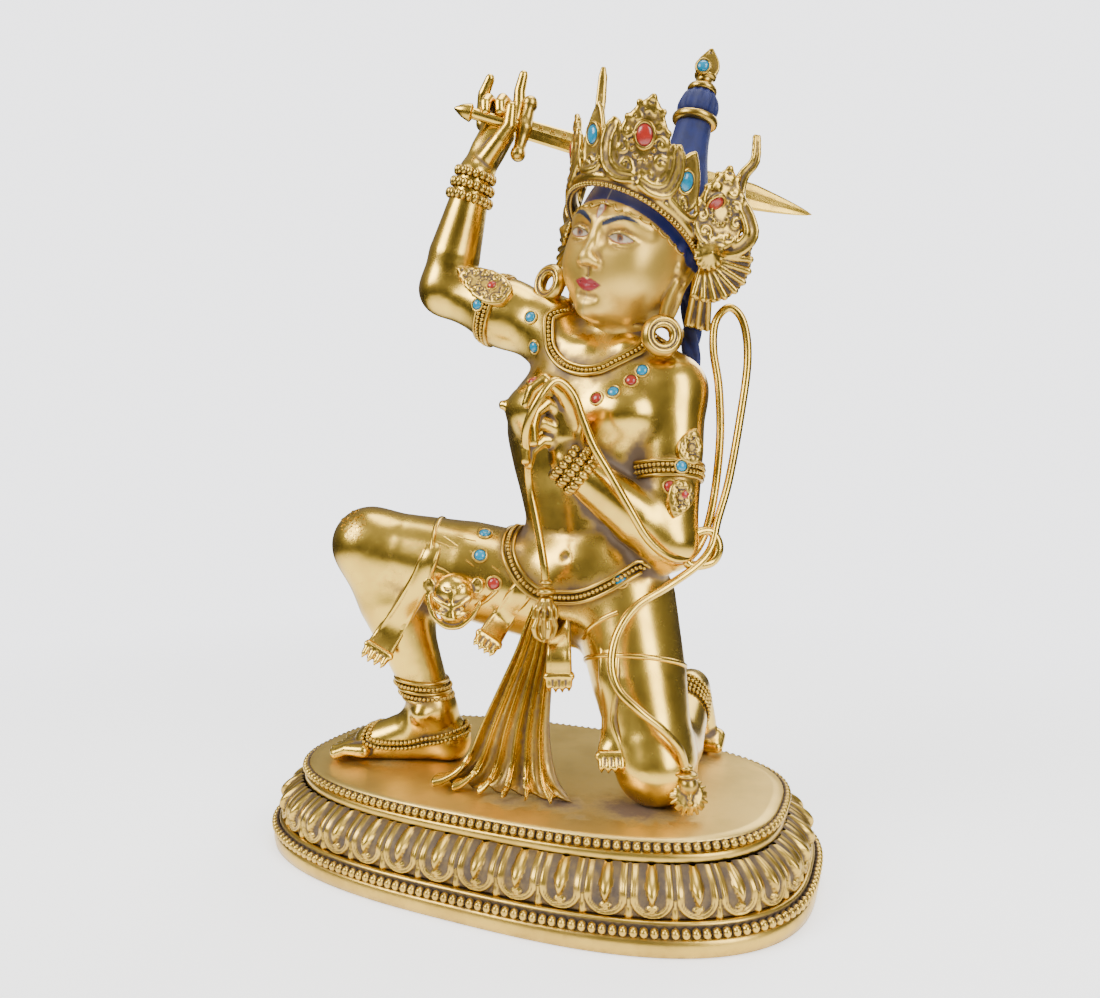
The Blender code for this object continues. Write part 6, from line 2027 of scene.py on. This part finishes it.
def makeEarring(name, node, centre, facing):
    facing = np.array(facing) / np.linalg.norm(facing)
    clay = Clay(np.array(centre) - 14, np.array(centre) + 14, 0.5)
    clay.ring(centre, facing, 6.6, 3.1, soft=0.5)
    clay.ring(np.array(centre) + facing * 2.2, facing, 7.4, 1.1, soft=0.4)
    clay.ring(np.array(centre) + facing * 1.6, facing, 4.6, 0.9, soft=0.4)
    clay.ring(np.array(centre) + facing * 2.7, facing, 6.0, 0.35, soft=0.5, carve=True)
    side = unit(np.cross((0, 0, 1), facing))
    clay.ring(np.array(centre) - facing * 2.4 + side * 7.5 + np.array((0, 0, 1.5)), facing, 2.6, 1.2,
        soft=0.5)
    fineCast(name, clay, 0.8, stands=(node,))


for row in earrings:
    makeEarring(*row)
print("noose and earrings made")


# Finial leaf on the top knot

def makeFinial():
    foot, tip = np.array(bun["foot"]), np.array(bun["tip"])
    axis = (tip - foot) / np.linalg.norm(tip - foot)
    facing = np.array((0.28, -0.95, 0.05))
    facing = unit(facing - axis * (facing @ axis))
    side = np.cross(axis, facing)
    clay = Clay((64, 8, 328), (98, 38, 354), 0.42)
    heart = foot + axis * 62.5
    outline = ((0, -5.4), (3.0, -4.6), (5.0, -1.0), (4.2, 2.4), (2.0, 5.4), (0.3, 7.6))
    for share in np.linspace(-0.9, 0.86, 9):
        r = share * 6.2
        wide = np.interp(r, [p[1] for p in outline], [p[0] for p in outline])
        clay.strand([(*(heart + axis * r - side * wide * 0.8), 1.3),
            (*(heart + axis * r + side * wide * 0.8), 1.3)], soft=0.9)
    for way in (-1, 1):
        rim = smoothRoute([(way * a, r, 0) for a, r in outline], 3)
        clay.strand([(*(heart + side * a + axis * r + facing * 0.7), 0.9) for a, r, _ in rim], soft=0.3)
        clay.strand([(*(heart + side * a - axis * -r - facing * 0.7), 0.9) for a, r, _ in rim], soft=0.3)
        clay.strand([(*(heart + side * way * 1.6 - axis * 6.6 + facing * 1.0), 1.0),
            (*(heart + side * way * 4.6 - axis * 4.4 + facing * 0.8), 0.9)], soft=0.4)
    fineCast("finialLeaf", clay, 0.6)


makeFinial()


# Floor

def makeFloor():
    bm = bmesh.new()
    bmesh.ops.create_circle(bm, cap_ends=True, segments=96, radius=6.0)
    mesh = bpy.data.meshes.new("studioFloor")
    bm.to_mesh(mesh)
    bm.free()
    material, tree, shader = newMaterial("paperFloor")
    place = addNode(tree, "ShaderNodeTexCoord").outputs["Object"]
    noise = addNode(tree, "ShaderNodeTexNoise", {"Vector": place, "Scale": 14}).outputs["Fac"]
    pale, dim = (*studio["floor"], 1), (*(c * 0.97 for c in studio["floor"]), 1)
    distance = addNode(tree, "ShaderNodeVectorMath", {0: place}, operation="LENGTH").outputs["Value"]
    setInputs(tree, shader, {
        "Roughness": 0.75, "Base Color": mixTones(tree, noise, pale, dim),
        # far from the statue the floor clears, so that no horizon shows
        "Alpha": mapRange(tree, distance, *studio["fade"], 1, 0, "SMOOTHSTEP"),
        "Emission Color": (1, 1, 1, 1), "Emission Strength": studio["floorGlow"],
    })
    mesh.materials.append(material)
    floor = bpy.data.objects.new("studioFloor", mesh)
    scene.collection.objects.link(floor)


makeFloor()


# Old dirt and painted shade darken the skin beside the jewels, stones and rope that sit on it

def addGrimeAndShade(piece, lines, reach, depth):
    marks = np.concatenate(lines)
    near = kdtree.KDTree(len(marks))
    for number, mark in enumerate(marks):
        near.insert(mark, number)
    near.balance()
    shade = piece.data.attributes["cavity"].data
    for vert, value in zip(piece.data.vertices, shade):
        away = near.find(vert.co)[2] / mm
        if away < reach * 2.5:
            value.value += depth * math.exp(-(away / reach) ** 2)


seats = [np.array([centre]) for node, centre in stoneSeats() if "crown" not in node]
addGrimeAndShade(bodyPiece, jewelLines + seats, 4.2, 0.42)
addGrimeAndShade(footPiece, jewelLines, 2.6, 0.34)
addGrimeAndShade(nooseHandPiece, jewelLines + [upright(rope["route"])], 6.0, 0.40)
addGrimeAndShade(swordHandPiece, jewelLines, 4.0, 0.35)


# Every piece rides on the one body

total = 0
for piece, slot, stands in finished:
    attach(piece, "root")
    if stands:
        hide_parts(*stands)
    total += trianglesOf(piece)
print("triangles in all:", total)
